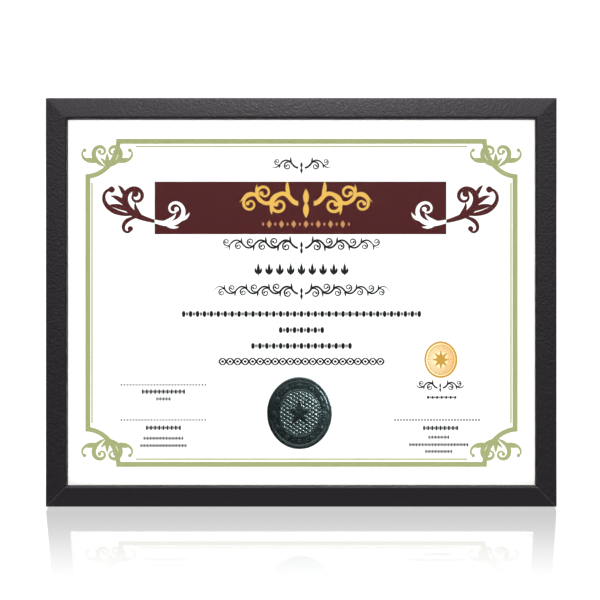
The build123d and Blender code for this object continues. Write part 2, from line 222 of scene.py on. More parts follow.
class Tree:
    """The node tree of a material or of the world, under construction."""

    def __init__(self, owner: bpy.types.Material | bpy.types.World) -> None:
        """Open the owner's node tree."""
        owner.use_nodes = True
        self.nodes = owner.node_tree.nodes
        self.links = owner.node_tree.links

    def add(self, kind: str, inputs: dict, out: str | int = 0, **settings: object) -> bpy.types.NodeSocket:
        """Add a node.

        Args:
            kind: The node's type name after "ShaderNode".
            inputs: Values or output sockets by input name or number.
            out: The name or number of the output that is wanted.
            settings: The node's own properties.

        Returns:
            That output.
        """
        node = self.nodes.new("ShaderNode" + kind)
        for key, value in settings.items():
            setattr(node, key, value)
        self.feed(node, inputs)
        return node.outputs[out]

    def feed(self, node: bpy.types.Node, inputs: dict) -> None:
        """Set a node's inputs to values or link them to output sockets.

        Args:
            node: The node.
            inputs: Values or output sockets by input name or number.
        """
        for key, value in inputs.items():
            if isinstance(value, bpy.types.NodeSocket):
                self.links.new(value, node.inputs[key])
            else:
                node.inputs[key].default_value = value


@dataclass(frozen=True)
class Finish:
    """What a surface is dressed in."""

    name: str

    def material(self) -> bpy.types.Material:
        """Build the material."""
        made = bpy.data.materials.new(self.name)
        self.paint(Tree(made))
        return made

    def paint(self, t: Tree) -> None:
        """Fill the material's node tree."""
        raise NotImplementedError

    @staticmethod
    def clouds(t: Tree, size_mm: float, detail: float) -> bpy.types.NodeSocket:
        """Noise on the object's own coordinates, its patches a real size across, spread over 0 to 1.

        Args:
            t: The tree.
            size_mm: The size of the largest patches.
            detail: How many finer layers are added.

        Returns:
            The noise.
        """
        at = t.add("TexCoord", {}, "Object")
        noise = t.add("TexNoise", {"Vector": at, "Scale": 1 / (size_mm * MM), "Detail": detail})
        return t.add("MapRange", {"Value": noise, "From Min": 0.3, "From Max": 0.7})


@dataclass(frozen=True)
class Lacquer(Finish):
    """Sprayed satin black lacquer over a rolled leather grain, on pine left bare in the rabbet and behind.

    The limits of the spray are distances round the section, from the rear outer arris over the face. The
    wall down to the glass is sprayed but left unpolished, so it is matt. The grain is drawn a little coarser
    than a real one, so that it shows at the size of the picture. Beside an opened mitre, a band of pale grey
    is a painted highlight, in place of the light that the mitre's upward flank catches from above.
    """

    shine_ends_mm: float
    lacquer_ends_mm: float
    lacquer_returns_mm: float
    colour: str = "0d0b0e"
    mitre_highlight_mm: float = 0.0
    sheen: str = "fff7ff"
    # The pale grey of the painted highlight beside an opened mitre, not a colour of the lacquer itself.
    mitre_highlight_grey: str = "48464a"
    wood: str = "b08d63"
    wood_dark: str = "8a6740"
    roughness: float = 0.3
    wall_roughness: float = 0.8
    specular: float = 0.28
    ridge_mm: float = 1.9
    ridge_depth_mm: float = 0.33
    warp_mm: float = 3.0
    warp_size_mm: float = 4.5
    wood_grain_mm: float = 0.8
    wood_grain_stretch: Triple = (0.08, 1.0, 1.0)
    wander_mm: float = 0.5
    wander_size_mm: float = 2.5
    fade_mm: float = 0.3
    fade_back_mm: float = 0.2
    fade_wall_mm: float = 0.4

    def paint(self, t: Tree) -> None:
        """Read the moulding's UV map: U is the distance from the nearer mitre and V runs round the section.

        Args:
            t: The material's tree.
        """
        uv = t.add("UVMap", {}, uv_map="section")
        around = t.add("SeparateXYZ", {0: uv}, "Y")
        # The spray ends along a line that wanders.
        wander = {"Value": self.clouds(t, self.wander_size_mm, 3.0)}
        wander |= {"To Min": -self.wander_mm * MM, "To Max": self.wander_mm * MM}
        edge = t.add("Math", {0: around, 1: t.add("MapRange", wander)})
        end, fade = self.lacquer_ends_mm * MM, self.fade_mm * MM
        bare_from = t.add("MapRange", {"Value": edge, "From Min": end - fade, "From Max": end + fade})
        back, fade = self.lacquer_returns_mm * MM, self.fade_back_mm * MM
        bare_to = t.add("MapRange", {"Value": edge, "From Min": back + fade, "From Max": back - fade})
        bare = t.add("Math", {0: bare_from, 1: bare_to}, operation="MULTIPLY")
        # Pine: streaks drawn out along the rail.
        stretched = t.add("Mapping", {0: uv, "Scale": self.wood_grain_stretch})
        fine = 1 / (self.wood_grain_mm * MM)
        streak = {"Vector": stretched, "Scale": fine, "Detail": 4.0, "Roughness": 0.6}
        streaks = t.add("MapRange", {"Value": t.add("TexNoise", streak), "From Min": 0.35, "From Max": 0.65})
        pine = {0: streaks, 6: linear(self.wood), 7: linear(self.wood_dark)}
        wood = t.add("Mix", pine, 2, data_type="RGBA")
        # Leather: fine ridges, bent by a larger noise.
        at = t.add("TexCoord", {}, "Object")
        large = 1 / (self.warp_size_mm * MM)
        bend = t.add("TexNoise", {"Vector": at, "Scale": large, "Detail": 2.0}, "Color")
        warp = t.add("VectorMath", {0: bend, 1: (self.warp_mm * MM,) * 3}, operation="MULTIPLY")
        warped = t.add("VectorMath", {0: at, 1: warp}, operation="ADD")
        ridge = {"Vector": warped, "Scale": 1 / (self.ridge_mm * MM), "Detail": 3.0, "Roughness": 0.55}
        leather = {"Height": t.add("TexNoise", ridge), "Distance": self.ridge_depth_mm * MM}
        coats = linear(self.colour)
        # Painted highlight: close to the mitre the lacquer turns pale grey, standing in for the light that
        # the opened mitre's upward flank catches.
        if self.mitre_highlight_mm:
            highlight_reach_and_foil_wear = self.mitre_highlight_mm * MM
            from_mitre = t.add("SeparateXYZ", {0: uv}, "X")
            highlit_mitres = t.add("MapRange", {"Value": from_mitre, "From Min": highlight_reach_and_foil_wear, "From Max": 0.8 * highlight_reach_and_foil_wear})
            coats = t.add("Mix", {0: highlit_mitres, 6: coats, 7: linear(self.mitre_highlight_grey)}, 2, data_type="RGBA")
        start, fade = self.shine_ends_mm * MM, self.fade_wall_mm * MM
        wall = t.add("MapRange", {"Value": around, "From Min": start, "From Max": start + fade})
        dull = t.add("Math", {0: bare_to, 1: wall}, operation="MULTIPLY")
        gloss = {"Value": dull, "To Min": self.roughness, "To Max": self.wall_roughness}
        t.feed(t.nodes["Principled BSDF"], {
            "Base Color": t.add("Mix", {0: bare, 6: coats, 7: wood}, 2, data_type="RGBA"),
            "Roughness": t.add("MapRange", gloss),
            "Specular IOR Level": self.specular,
            "Specular Tint": linear(self.sheen),
            "Normal": t.add("Bump", leather, "Normal"),
        })


@dataclass(frozen=True)
class Plain(Finish):
    """A solid finish with a fine mottle in its colour, gloss and surface."""

    colour: str
    mottle: str
    size_mm: float = 0.6
    roughness: Pair = (0.5, 0.6)
    metallic: float = 0.0
    depth_mm: float = 0.01
    detail: float = 3.0
    specular: float = 0.5

    def paint(self, t: Tree) -> None:
        """Mottle the colour, the gloss and the surface together.

        Args:
            t: The material's tree.
        """
        noise = self.clouds(t, self.size_mm, self.detail)
        low, high = self.roughness
        colours = {0: noise, 6: linear(self.colour), 7: linear(self.mottle)}
        t.feed(t.nodes["Principled BSDF"], {
            "Base Color": t.add("Mix", colours, 2, data_type="RGBA"),
            "Roughness": t.add("MapRange", {"Value": noise, "To Min": low, "To Max": high}),
            "Metallic": self.metallic,
            "Specular IOR Level": self.specular,
            "Normal": t.add("Bump", {"Height": noise, "Distance": self.depth_mm * MM}, "Normal"),
        })


@dataclass(frozen=True)
class Split(Finish):
    """An ink whose colour changes with the distance from an upright line on the certificate."""

    inner: str
    outer: str
    middle_mm: float
    from_mm: float
    to_mm: float
    mottle_mm: float = 1.2
    roughness: Pair = (0.6, 0.7)

    def paint(self, t: Tree) -> None:
        """Measure along the object's X, which is the certificate's, whichever way the frame leans.

        Args:
            t: The material's tree.
        """
        across = t.add("SeparateXYZ", {0: t.add("TexCoord", {}, "Object")}, "X")
        offset = t.add("Math", {0: across, 1: self.middle_mm * MM}, operation="SUBTRACT")
        far = t.add("Math", {0: offset}, operation="ABSOLUTE")
        share = t.add("MapRange", {"Value": far, "From Min": self.from_mm * MM, "From Max": self.to_mm * MM})
        colours = {0: share, 6: linear(self.inner), 7: linear(self.outer)}
        low, high = self.roughness
        gloss = {"Value": self.clouds(t, self.mottle_mm, 2.0), "To Min": low, "To Max": high}
        t.feed(t.nodes["Principled BSDF"], {
            "Base Color": t.add("Mix", colours, 2, data_type="RGBA"),
            "Roughness": t.add("MapRange", gloss),
            "Specular IOR Level": INK_GLOSS,
        })


@dataclass(frozen=True)
class Foil(Finish):
    """Lacquered metal foil: it mirrors softly, and sparkles white where the relief turns towards a lamp.

    The paper under it buckles a little, which the bump draws as a crown that is higher than it is in truth.
    """

    colour: str
    middle: Pair
    roughness: Pair = (0.17, 0.27)
    coat_roughness: float = 0.18
    mottle_mm: float = 1.5
    buckle: float = 2.7
    buckle_ways: Triple = (1.0, 0.0, 0.3)

    def paint(self, t: Tree) -> None:
        """Bend the surface by the square of the distance from the seal's middle, mostly sideways.

        Args:
            t: The material's tree.
        """
        at = t.add("TexCoord", {}, "Object")
        x, z = self.middle
        out = t.add("VectorMath", {0: at, 1: (x * MM, 0.0, z * MM)}, operation="SUBTRACT")
        flat = t.add("VectorMath", {0: out, 1: self.buckle_ways}, operation="MULTIPLY")
        square = t.add("VectorMath", {0: flat, 1: flat}, "Value", operation="DOT_PRODUCT")
        crown = t.add("Bump", {"Height": square, "Distance": self.buckle}, "Normal", invert=True)
        highlight_reach_and_foil_wear = self.clouds(t, self.mottle_mm, 3.0)
        low, high = self.roughness
        t.feed(t.nodes["Principled BSDF"], {
            "Base Color": linear(self.colour),
            "Metallic": 1.0,
            "Roughness": t.add("MapRange", {"Value": highlight_reach_and_foil_wear, "To Min": low, "To Max": high}),
            "Coat Weight": 1.0,
            "Coat Roughness": self.coat_roughness,
            "Normal": crown,
            "Coat Normal": crown,
        })


@dataclass(frozen=True)
class Glazing(Finish):
    """Clear float glass: almost nothing but a mirror that grows towards grazing angles."""

    least_mirror: float = 0.0015
    mirror_roughness: float = 0.02
    tint: tuple[float, ...] = (0.99, 0.993, 0.991, 1.0)

    def paint(self, t: Tree) -> None:
        """Mix a see-through shader and a mirror by the fifth power of how steeply each point is seen.

        Args:
            t: The material's tree.
        """
        t.nodes.remove(t.nodes["Principled BSDF"])
        facing = t.add("LayerWeight", {"Blend": 0.5}, "Facing")
        steep = t.add("Math", {0: facing, 1: 5.0}, operation="POWER")
        share = t.add("MapRange", {"Value": steep, "To Min": self.least_mirror})
        clear = t.add("BsdfTransparent", {"Color": self.tint})
        mirror = t.add("BsdfGlossy", {"Roughness": self.mirror_roughness})
        mixed = t.add("MixShader", {0: share, 1: clear, 2: mirror})
        t.feed(t.nodes["Material Output"], {"Surface": mixed})


INK_GLOSS = 0.03

# Clear float glass: a faint mirror square on, a strong one from the side.
GLAZING = Glazing("clear_float_glass")
# Smooth white printing stock: matt, with the faintest cloudiness.
PAPER = Plain(
    "uncoated_white_stock", "fcfcfb", "f8f9f8", 4.0, (0.6, 0.7), depth_mm=0.004, detail=6.0, specular=0.1
)


def ink(name: str, colour: str, mottle: str) -> Plain:
    """Matt printing ink, a little uneven where the paper drinks it."""
    return Plain(name, colour, mottle, 0.9, (0.6, 0.7), depth_mm=0.002, specular=INK_GLOSS)


# Printing inks: flat matt colour, a touch uneven close to.
GREEN_INK = ink("sage_green_ink", "9aa070", "959b6b")
PALE_INK = ink("sage_green_tint", "a6ab80", "a1a67b")
MAROON_INK = ink("maroon_ink", "4a2022", "451d1f")
BLACK_INK = ink("black_ink", "1e1e20", "252527")
GREY_INK = ink("grey_ink", "4a4a4d", "545457")
GOLD_INK = ink("gold_ink", "dcb159", "d2a64e")
BRONZE_INK = ink("bronze_ink", "c08a5a", "b67f50")
OLD_GOLD_INK = ink("old_gold_ink", "c0953f", "b58a38")
OCHRE_INK = ink("ochre_ink", "c99a55", "bf904c")
# The scrolls across the banner's ends: white where they lie on the banner, maroon beyond it.
COUNTER_INK = Split("maroon_and_paper_white", "fafaf8", "4a2022", BANNER_X, 109.43, 109.45)
# The medallion's field: cream on its left, orange on its right.
MEDAL_INK = Split("cream_to_orange_ink", "fbf3d2", "ecc183", 92.0, 4.0, 26.0)
# Green-black metal foil, hot stamped and embossed: it mirrors softly and sparkles on the relief.
FOIL = Foil("dark_green_embossed_foil", "263739", SEAL_MIDDLE)
# Brown hardboard with a sized face: dull, with a felted mottle.
FIBREBOARD = Plain("brown_hardboard", "7a5638", "694729", 1.4, (0.62, 0.78), depth_mm=0.03, detail=6.0)
# Grey-brown pulp card: dead matt.
CARD = Plain("grey_brown_card", "a3937a", "95856c", 1.0, (0.8, 0.9), depth_mm=0.02)
# Rolled and stamped steel, bright zinc plated: a soft mirror with faint cloudiness.
ZINC = Plain("zinc_plated_steel", "b9bcc0", "a4a8ad", 5.0, (0.24, 0.38), metallic=1.0, depth_mm=0.004)
# Brass plated rivets, tumbled: a warm soft mirror.
BRASS = Plain("brass_plated_steel", "c9a45c", "b38f49", 2.0, (0.22, 0.34), metallic=1.0, depth_mm=0.004)
# Blued steel tacks: a darker, bluish mirror.
TACK_STEEL = Plain("blued_tack_steel", "6c7078", "565a62", 1.5, (0.28, 0.4), metallic=1.0, depth_mm=0.004)
# Moulded rubber: black and dull.
RUBBER = Plain("black_rubber", "1b1b1b", "232323", 0.5, (0.7, 0.85), depth_mm=0.02)


class Wardrobe:
    """Builds each finish once."""

    def __init__(self) -> None:
        """Start with no material built."""
        self.built: dict[str, bpy.types.Material] = {}

    def get(self, finish: Finish) -> bpy.types.Material:
        """Build a finish's material the first time that it is asked for.

        Args:
            finish: The finish.

        Returns:
            Its material.
        """
        if finish.name not in self.built:
            self.built[finish.name] = finish.material()
        return self.built[finish.name]

    def dress(self, mesh: bpy.types.Mesh, finish: Finish) -> None:
        """Give a mesh one finish and no other."""
        mesh.materials.clear()
        mesh.materials.append(self.get(finish))


def new_object(name: str, data: bpy.types.ID) -> bpy.types.Object:
    """Put a new object in the scene.

    Args:
        name: Its name.
        data: Its mesh, lamp or camera.

    Returns:
        The object.
    """
    obj = bpy.data.objects.new(name, data)
    bpy.context.scene.collection.objects.link(obj)
    return obj


@dataclass
class Workshop:
    """Turns surfaces into pieces that stand in the model and ride on its bodies."""

    stance: Stance
    wardrobe: Wardrobe

    def piece(
        self,
        name: str,
        surface: Surface,
        finish: Finish,
        slot: str,
        body: str = "frame",
        replaces: tuple[str, ...] = (),
        sharp_deg: float = 35.0,
        uv: np.ndarray | None = None,
        merge: bool = True,
    ) -> bpy.types.Object:
        """Make one piece.

        Args:
            name: The piece's name.
            surface: Its closed surface in upright millimetres.
            finish: What it is dressed in.
            slot: The record's material slot; not used.
            body: The body that it rides on.
            replaces: The model's nodes that it stands for.
            sharp_deg: Edges that turn by more than this stay sharp.
            uv: One UV pair for each point, in metres.
            merge: Whether points that meet become one.

        Returns:
            The new object.
        """
        mesh = bpy.data.meshes.new(name)
        faces = [face for array in surface.faces for face in array.tolist()]
        mesh.from_pydata(self.stance.place(surface.points).tolist(), [], faces)
        if uv is not None:
            corner = np.empty(len(mesh.loops), np.int32)
            mesh.loops.foreach_get("vertex_index", corner)
            mesh.uv_layers.new(name="section").data.foreach_set("uv", uv[corner].ravel())
        close(mesh, merge)
        return self.stand(name, mesh, finish, body, replaces, sharp_deg)

    def stand(
        self,
        name: str,
        mesh: bpy.types.Mesh,
        finish: Finish,
        body: str,
        replaces: tuple[str, ...],
        sharp_deg: float,
    ) -> bpy.types.Object:
        """Give a mesh its finish and the body that it rides on.

        Args:
            name: The piece's name.
            mesh: Its mesh.
            finish: What it is dressed in.
            body: The body that it rides on.
            replaces: The model's nodes that it stands for.
            sharp_deg: Edges that turn by more than this stay sharp.

        Returns:
            The new object.
        """
        mesh.shade_smooth()
        mesh.set_sharp_from_angle(angle=radians(sharp_deg))
        self.wardrobe.dress(mesh, finish)
        obj = new_object(name, mesh)
        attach(obj, body)
        if replaces:
            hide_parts(*replaces)
        LOG.info("%s: %d faces on %s", name, len(mesh.polygons), body)
        return obj

    def soften(self, node: str, finish: Finish, slot: str, body: str = "frame", edge_mm: float = 0.2) -> None:
        """Put a copy of a model node in its place, its facets merged to flats and its edges rounded.

        Args:
            node: The model's node.
            finish: What the copy is dressed in.
            slot: The record's material slot; not used.
            body: The body that the node belongs to.
            edge_mm: How wide the rounding is.
        """
        flat_deg, sharp_deg, bevel_deg = 1.0, 28.0, 30.0
        mesh = frame["nodes"][node].data.copy()
        close(mesh, True)
        flatten(mesh, flat_deg)
        obj = self.stand(f"{node}_softened", mesh, finish, body, (node,), sharp_deg)
        bevel = obj.modifiers.new("rounded_edges", "BEVEL")
        bevel.width = edge_mm * MM
        bevel.segments = 3
        bevel.limit_method = "ANGLE"
        bevel.angle_limit = radians(bevel_deg)
        bevel.harden_normals = True

    def dress(self, node: str, finish: Finish) -> None:
        """Give one of the model's own nodes its finish."""
        self.wardrobe.dress(frame["nodes"][node].data, finish)
        LOG.info("%s: dressed in %s", node, finish.name)


def close(mesh: bpy.types.Mesh, merge: bool) -> None:
    """Turn every face of a mesh's closed shells outwards.

    Args:
        mesh: The mesh.
        merge: Whether points that meet become one first.
    """
    bm = bmesh.new()
    bm.from_mesh(mesh)
    if merge:
        bmesh.ops.remove_doubles(bm, verts=bm.verts, dist=1e-7)
    bmesh.ops.dissolve_degenerate(bm, edges=bm.edges, dist=1e-8)
    bmesh.ops.recalc_face_normals(bm, faces=bm.faces)
    bm.to_mesh(mesh)
    bm.free()


def flatten(mesh: bpy.types.Mesh, degrees: float) -> None:
    """Join faces that lie in one plane.

    Args:
        mesh: The mesh.
        degrees: How far the slopes of such faces may differ.
    """
    bm = bmesh.new()
    bm.from_mesh(mesh)
    bmesh.ops.dissolve_limit(bm, angle_limit=radians(degrees), verts=bm.verts, edges=bm.edges)
    bm.to_mesh(mesh)
    bm.free()


# The moulding


class Side(Enum):
    """The four rails: the turn that brings a rail with its outer edge down to its place."""

    BOTTOM = 0
    LEFT = 90
    TOP = 180
    RIGHT = 270


@dataclass
class Moulding:
    """The four mitred rails, drawn finer than the model's so that the dome shines evenly."""

    shop: Workshop
    outer_width: float = OUTER_WIDTH
    outer_height: float = OUTER_HEIGHT
    width: float = 16.0
    depth: float = DEPTH
    lip: float = 6.0
    rear_strip: float = 12.0
    drop_outer: float = 2.2
    bulge: float = 0.15
    outer_arris: float = 1.3
    sight_arris: float = 1.8
    rear_arris: float = 0.5
    groove: float = 0.04
    open_groove: float = 0.24
    groove_run: float = 0.6
    # How far the painted highlight beside the bottom rail's opened mitres reaches.
    mitre_highlight: float = 0.42
    overspray: float = 1.0
    stations: int = 24
    arris_steps: int = 12
    dome_steps: int = 40
    rear_steps: int = 6

    def face_circle(self) -> Triple:
        """The circle through the face's outer edge, its middle and its sight edge.

        Returns:
            The depth and height of its centre, and its radius.
        """
        (y1, z1), (y3, z3) = (self.drop_outer, 0.0), (0.0, self.width)
        y2, z2 = self.drop_outer / 2 - self.bulge, self.width / 2
        a = np.array([[y2 - y1, z2 - z1], [y3 - y1, z3 - z1]]) * 2
        b = np.array([y2**2 - y1**2 + z2**2 - z1**2, y3**2 - y1**2 + z3**2 - z1**2])
        cy, cz = np.linalg.solve(a, b)
        return cy, cz, float(np.hypot(y2 - cy, z2 - cz))

    def touching(self, arris: float, height: float) -> Triple:
        """An arris circle at a height that touches the face from inside.

        Args:
            arris: The arris's radius.
            height: The height of its centre.

        Returns:
            The depth and height of its centre, and the angle at which the two circles touch.
        """
        cy, cz, big = self.face_circle()
        y = cy - np.sqrt((big - arris) ** 2 - (height - cz) ** 2)
        return y, height, float(np.degrees(np.arctan2(height - cz, y - cy)) % 360)

    def section(self) -> np.ndarray:
        """The moulding's section.

        Returns:
            Its closed outline as depth and height, from the rear outer arris over the face to the rear again.
        """
        cy, cz, big = self.face_circle()
        outer_y, outer_z, outer_turn = self.touching(self.outer_arris, self.outer_arris)
        sight_y, sight_z, sight_turn = self.touching(self.sight_arris, self.width - self.sight_arris)
        k = self.rear_arris
        rear = arc_points((self.depth - k, k), k, 0, -90, self.rear_steps)
        outer = arc_points((outer_y, outer_z), self.outer_arris, 270, outer_turn, self.arris_steps)
        dome = arc_points((cy, cz), big, outer_turn, sight_turn, self.dome_steps)
        sight = arc_points((sight_y, sight_z), self.sight_arris, sight_turn, 90, self.arris_steps)
        tail = np.array([
            [self.lip, self.width],
            [self.lip, self.rear_strip],
            [self.depth, self.rear_strip],
            rear[0],
        ])
        return np.vstack([rear, outer, dome[1:], sight[1:], tail])

    def lengths(self) -> np.ndarray:
        """The way round the section up to each of its points."""
        steps = np.linalg.norm(np.diff(self.section(), axis=0), axis=1)
        return np.concatenate([[0], np.cumsum(steps)])

    def rail(self, side: Side) -> tuple[Surface, np.ndarray]:
        """One rail, its section carried along X between the mitres and then turned to its side.

        x = s (half length - height), and s runs from -1 to 1. The section shrinks a little at each end, which
        leaves a fine groove at the mitre. The lower mitres have opened more than the upper ones.

        Args:
            side: Which rail it is.

        Returns:
            The rail, and its UV pairs: U is the distance from the nearer mitre, V the way round the section.
        """
        section = self.section()
        upright = side in (Side.LEFT, Side.RIGHT)
        half = (self.outer_height if upright else self.outer_width) / 2
        step = np.diff(section, axis=0)
        step = (step + np.roll(step, 1, axis=0))[np.r_[:len(step), 0]]
        inward = np.stack([step[:, 1], -step[:, 0]], axis=1)
        inward /= np.linalg.norm(inward, axis=1, keepdims=True)
        near = 1 - np.array([1, 2, 3]) * self.groove_run / half
        middle = np.linspace(-near[-1], near[-1], self.stations)
        along = np.concatenate([[-1], -near[:-1], middle, near[:-1][::-1], [1]])
        groove = self.open_groove if side is Side.BOTTOM else self.groove
        shrink = np.where(np.abs(along) == 1, groove, 0.0)
        ring = section + inward * shrink[:, None, None]
        reach_x = half - section[:, 1]
        x = along[:, None] * reach_x
        points = np.concatenate([x[..., None], ring], axis=2)
        around = np.broadcast_to(self.lengths(), x.shape)
        from_mitre = (1 - np.abs(along))[:, None] * reach_x
        uv = np.stack([from_mitre, around], axis=-1).reshape(-1, 2) * MM
        number = np.arange(x.size).reshape(x.shape)[:, :-1]
        surface = grid(points)
        surface = Surface(surface.points, surface.faces + [number[:1, ::-1], number[-1:]])
        reach = self.outer_width / 2 if upright else self.outer_height / 2
        placed = surface.moved(z=-reach).spun(side.value).moved(z=self.outer_height / 2)
        return placed, uv

    def build(self) -> None:
        """Make the four rails and their nails."""
        around = self.lengths()
        limits = float(around[-5]), float(around[-4]), float(around[-1]) - self.overspray
        whole = Lacquer("satin_black_lacquer", *limits)
        # The bottom rail's lacquer carries a painted highlight beside its opened mitres.
        highlit_mitres = Lacquer("satin_black_lacquer_with_mitre_highlights", *limits, mitre_highlight_mm=self.mitre_highlight)
        for side in Side:
            surface, uv = self.rail(side)
            finish = highlit_mitres if side is Side.BOTTOM else whole
            name = side.name.lower()
            node = (f"rail_{name}",)
            self.shop.piece(f"{name}_rail_lacquered", surface, finish, "black_moulding", replaces=node, uv=uv)
        VNails(self.shop, self.outer_width, self.outer_height, self.depth).build()


@dataclass
class VNails:
    """Two V-nails across each mitre, flush with the rear face, where they show as bright bent lines."""

    shop: Workshop
    outer_width: float
    outer_height: float
    rear: float
    leg: float = 4.6
    curl: float = 0.8
    metal: float = 0.6
    height: float = 8.5
    proud: float = 0.03
    insets: tuple[float, ...] = (3.4, 7.4)

    def build(self) -> None:
        """Make all eight as one piece."""
        nails = []
        for inset in self.insets:
            near, far = inset + self.curl, inset + self.leg
            tip = far + self.curl
            line = np.array([[tip, near], [far, inset], [inset, inset], [inset, far], [near, tip]])
            strip = Strip.along(line, np.full(len(line), self.metal)).moved(-self.outer_width / 2, 0)
            for sx in (1, -1):
                for mirror in (False, True):
                    one = strip.scaled(sx, 1)
                    if mirror:
                        one = one.scaled(1, -1).moved(0, self.outer_height)
                    nails.append(one.solid(self.rear - self.height, self.rear + self.proud))
        self.shop.piece("corner_v_nails_flush", join(nails), ZINC, "nail_steel", replaces=("corner_v_nails",))


# Flat printing


@dataclass(frozen=True)
class Strip:
    """A flat shape between two edges of equally many points, in X and Z."""

    left: np.ndarray
    right: np.ndarray
    closed: bool = False

    @classmethod
    def bar(cls, x0: float, x1: float, z0: float, z1: float) -> "Strip":
        """A rectangle."""
        return cls(np.array([[x0, z1], [x1, z1]], float), np.array([[x0, z0], [x1, z0]], float))

    @classmethod
    def lozenge(cls, x: float, z: float, half_width: float, half_height: float) -> "Strip":
        """A diamond.

        Args:
            x: Its middle across.
            z: Its middle's height.
            half_width: Half its width.
            half_height: Half its height.

        Returns:
            The diamond.
        """
        across = np.array([-half_width, 0, half_width])
        up = np.array([TIP, half_height, TIP])
        return cls(np.stack([x + across, z + up], 1), np.stack([x + across, z - up], 1))

    @classmethod
    def oval(cls, x: float, z: float, rx: float, rz: float, steps: int = 16) -> "Strip":
        """A filled oval.

        Args:
            x: Its middle across.
            z: Its middle's height.
            rx: Its radius across.
            rz: Its radius upright.
            steps: How many points each half has.

        Returns:
            The oval.
        """
        turn = np.linspace(pi, 0, steps)
        across, up = np.cos(turn) * rx, np.maximum(np.sin(turn) * rz, TIP)
        return cls(np.stack([x + across, z + up], 1), np.stack([x + across, z - up], 1))

    @classmethod
    def ring(cls, x: float, z: float, rx: float, rz: float, width: float, steps: int = 120) -> "Strip":
        """An oval band.

        Args:
            x: Its middle across.
            z: Its middle's height.
            rx: Its outer radius across.
            rz: Its outer radius upright.
            width: How wide the band is.
            steps: How many faces go round.

        Returns:
            The band.
        """
        turn = np.linspace(0, tau, steps, endpoint=False)
        unit = np.stack([np.cos(turn), np.sin(turn)], axis=1)
        centre = np.array([x, z])
        return cls(centre + unit * (rx, rz), centre + unit * (rx - width, rz - width), True)

    @classmethod
    def star(cls, x: float, z: float, tip: float, notch: float, count: int, squeeze: float) -> "Strip":
        """A star whose first point is up.

        Args:
            x: Its middle across.
            z: Its middle's height.
            tip: How far out its points reach.
            notch: How far out the hollows between them lie.
            count: How many points it has.
            squeeze: Its width over its height.

        Returns:
            The star.
        """
        turn = pi / 2 + np.arange(2 * count) * pi / count
        reach = np.where(np.arange(2 * count) % 2, notch, tip)
        unit = np.stack([np.cos(turn) * squeeze, np.sin(turn)], axis=1)
        centre = np.array([x, z])
        return cls(centre + unit * reach[:, None], centre + unit * TIP, True)

    @classmethod
    def along(cls, line: np.ndarray, widths: np.ndarray) -> "Strip":
        """A line given a width; at a corner the edges meet on the mitre.

        Args:
            line: The line's points.
            widths: The width at each point.

        Returns:
            The strip.
        """
        step = np.diff(line, axis=0)
        step /= np.linalg.norm(step, axis=1, keepdims=True)
        before, after = np.vstack([step[:1], step]), np.vstack([step, step[-1:]])
        normal = np.stack([-(before + after)[:, 1], (before + after)[:, 0]], axis=1)
        normal /= np.linalg.norm(normal, axis=1, keepdims=True)
        across = -before[:, 1] * normal[:, 0] + before[:, 0] * normal[:, 1]
        offset = normal * (widths / 2 / np.maximum(across, 0.4))[:, None]
        return cls(line + offset, line - offset)

    def moved(self, x: float, z: float) -> "Strip":
        """The strip shifted."""
        return Strip(self.left + (x, z), self.right + (x, z), self.closed)

    def scaled(self, across: float, up: float) -> "Strip":
        """The strip stretched, or mirrored where a factor is negative."""
        return Strip(self.left * (across, up), self.right * (across, up), self.closed)

    def solid(self, front: float, rear: float) -> Surface:
        """The strip as a closed slab.

        Args:
            front: The depth of its face.
            rear: The depth of its back.

        Returns:
            The slab.
        """
        count = len(self.left)
        ring = np.empty((count, 4, 3))
        ring[:, 0], ring[:, 1] = place_flat(self.left, front), place_flat(self.right, front)
        ring[:, 2], ring[:, 3] = place_flat(self.right, rear), place_flat(self.left, rear)
        number = np.arange(count * 4).reshape(count, 4)
        after = np.roll(number, -1, axis=0) if self.closed else number[1:]
        here = number if self.closed else number[:-1]
        pairs = ((0, 1), (1, 2), (2, 3), (3, 0))
        quads = [np.stack([here[:, k], after[:, k], after[:, n], here[:, n]], 1) for k, n in pairs]
        caps = [] if self.closed else [number[:1], number[-1:, ::-1]]
        return Surface(ring.reshape(-1, 3), quads + caps)


def place_flat(points: np.ndarray, depth: float) -> np.ndarray:
    """Points in X and Z as points in space at one depth."""
    return np.stack([points[:, 0], np.full(len(points), depth), points[:, 1]], axis=1)


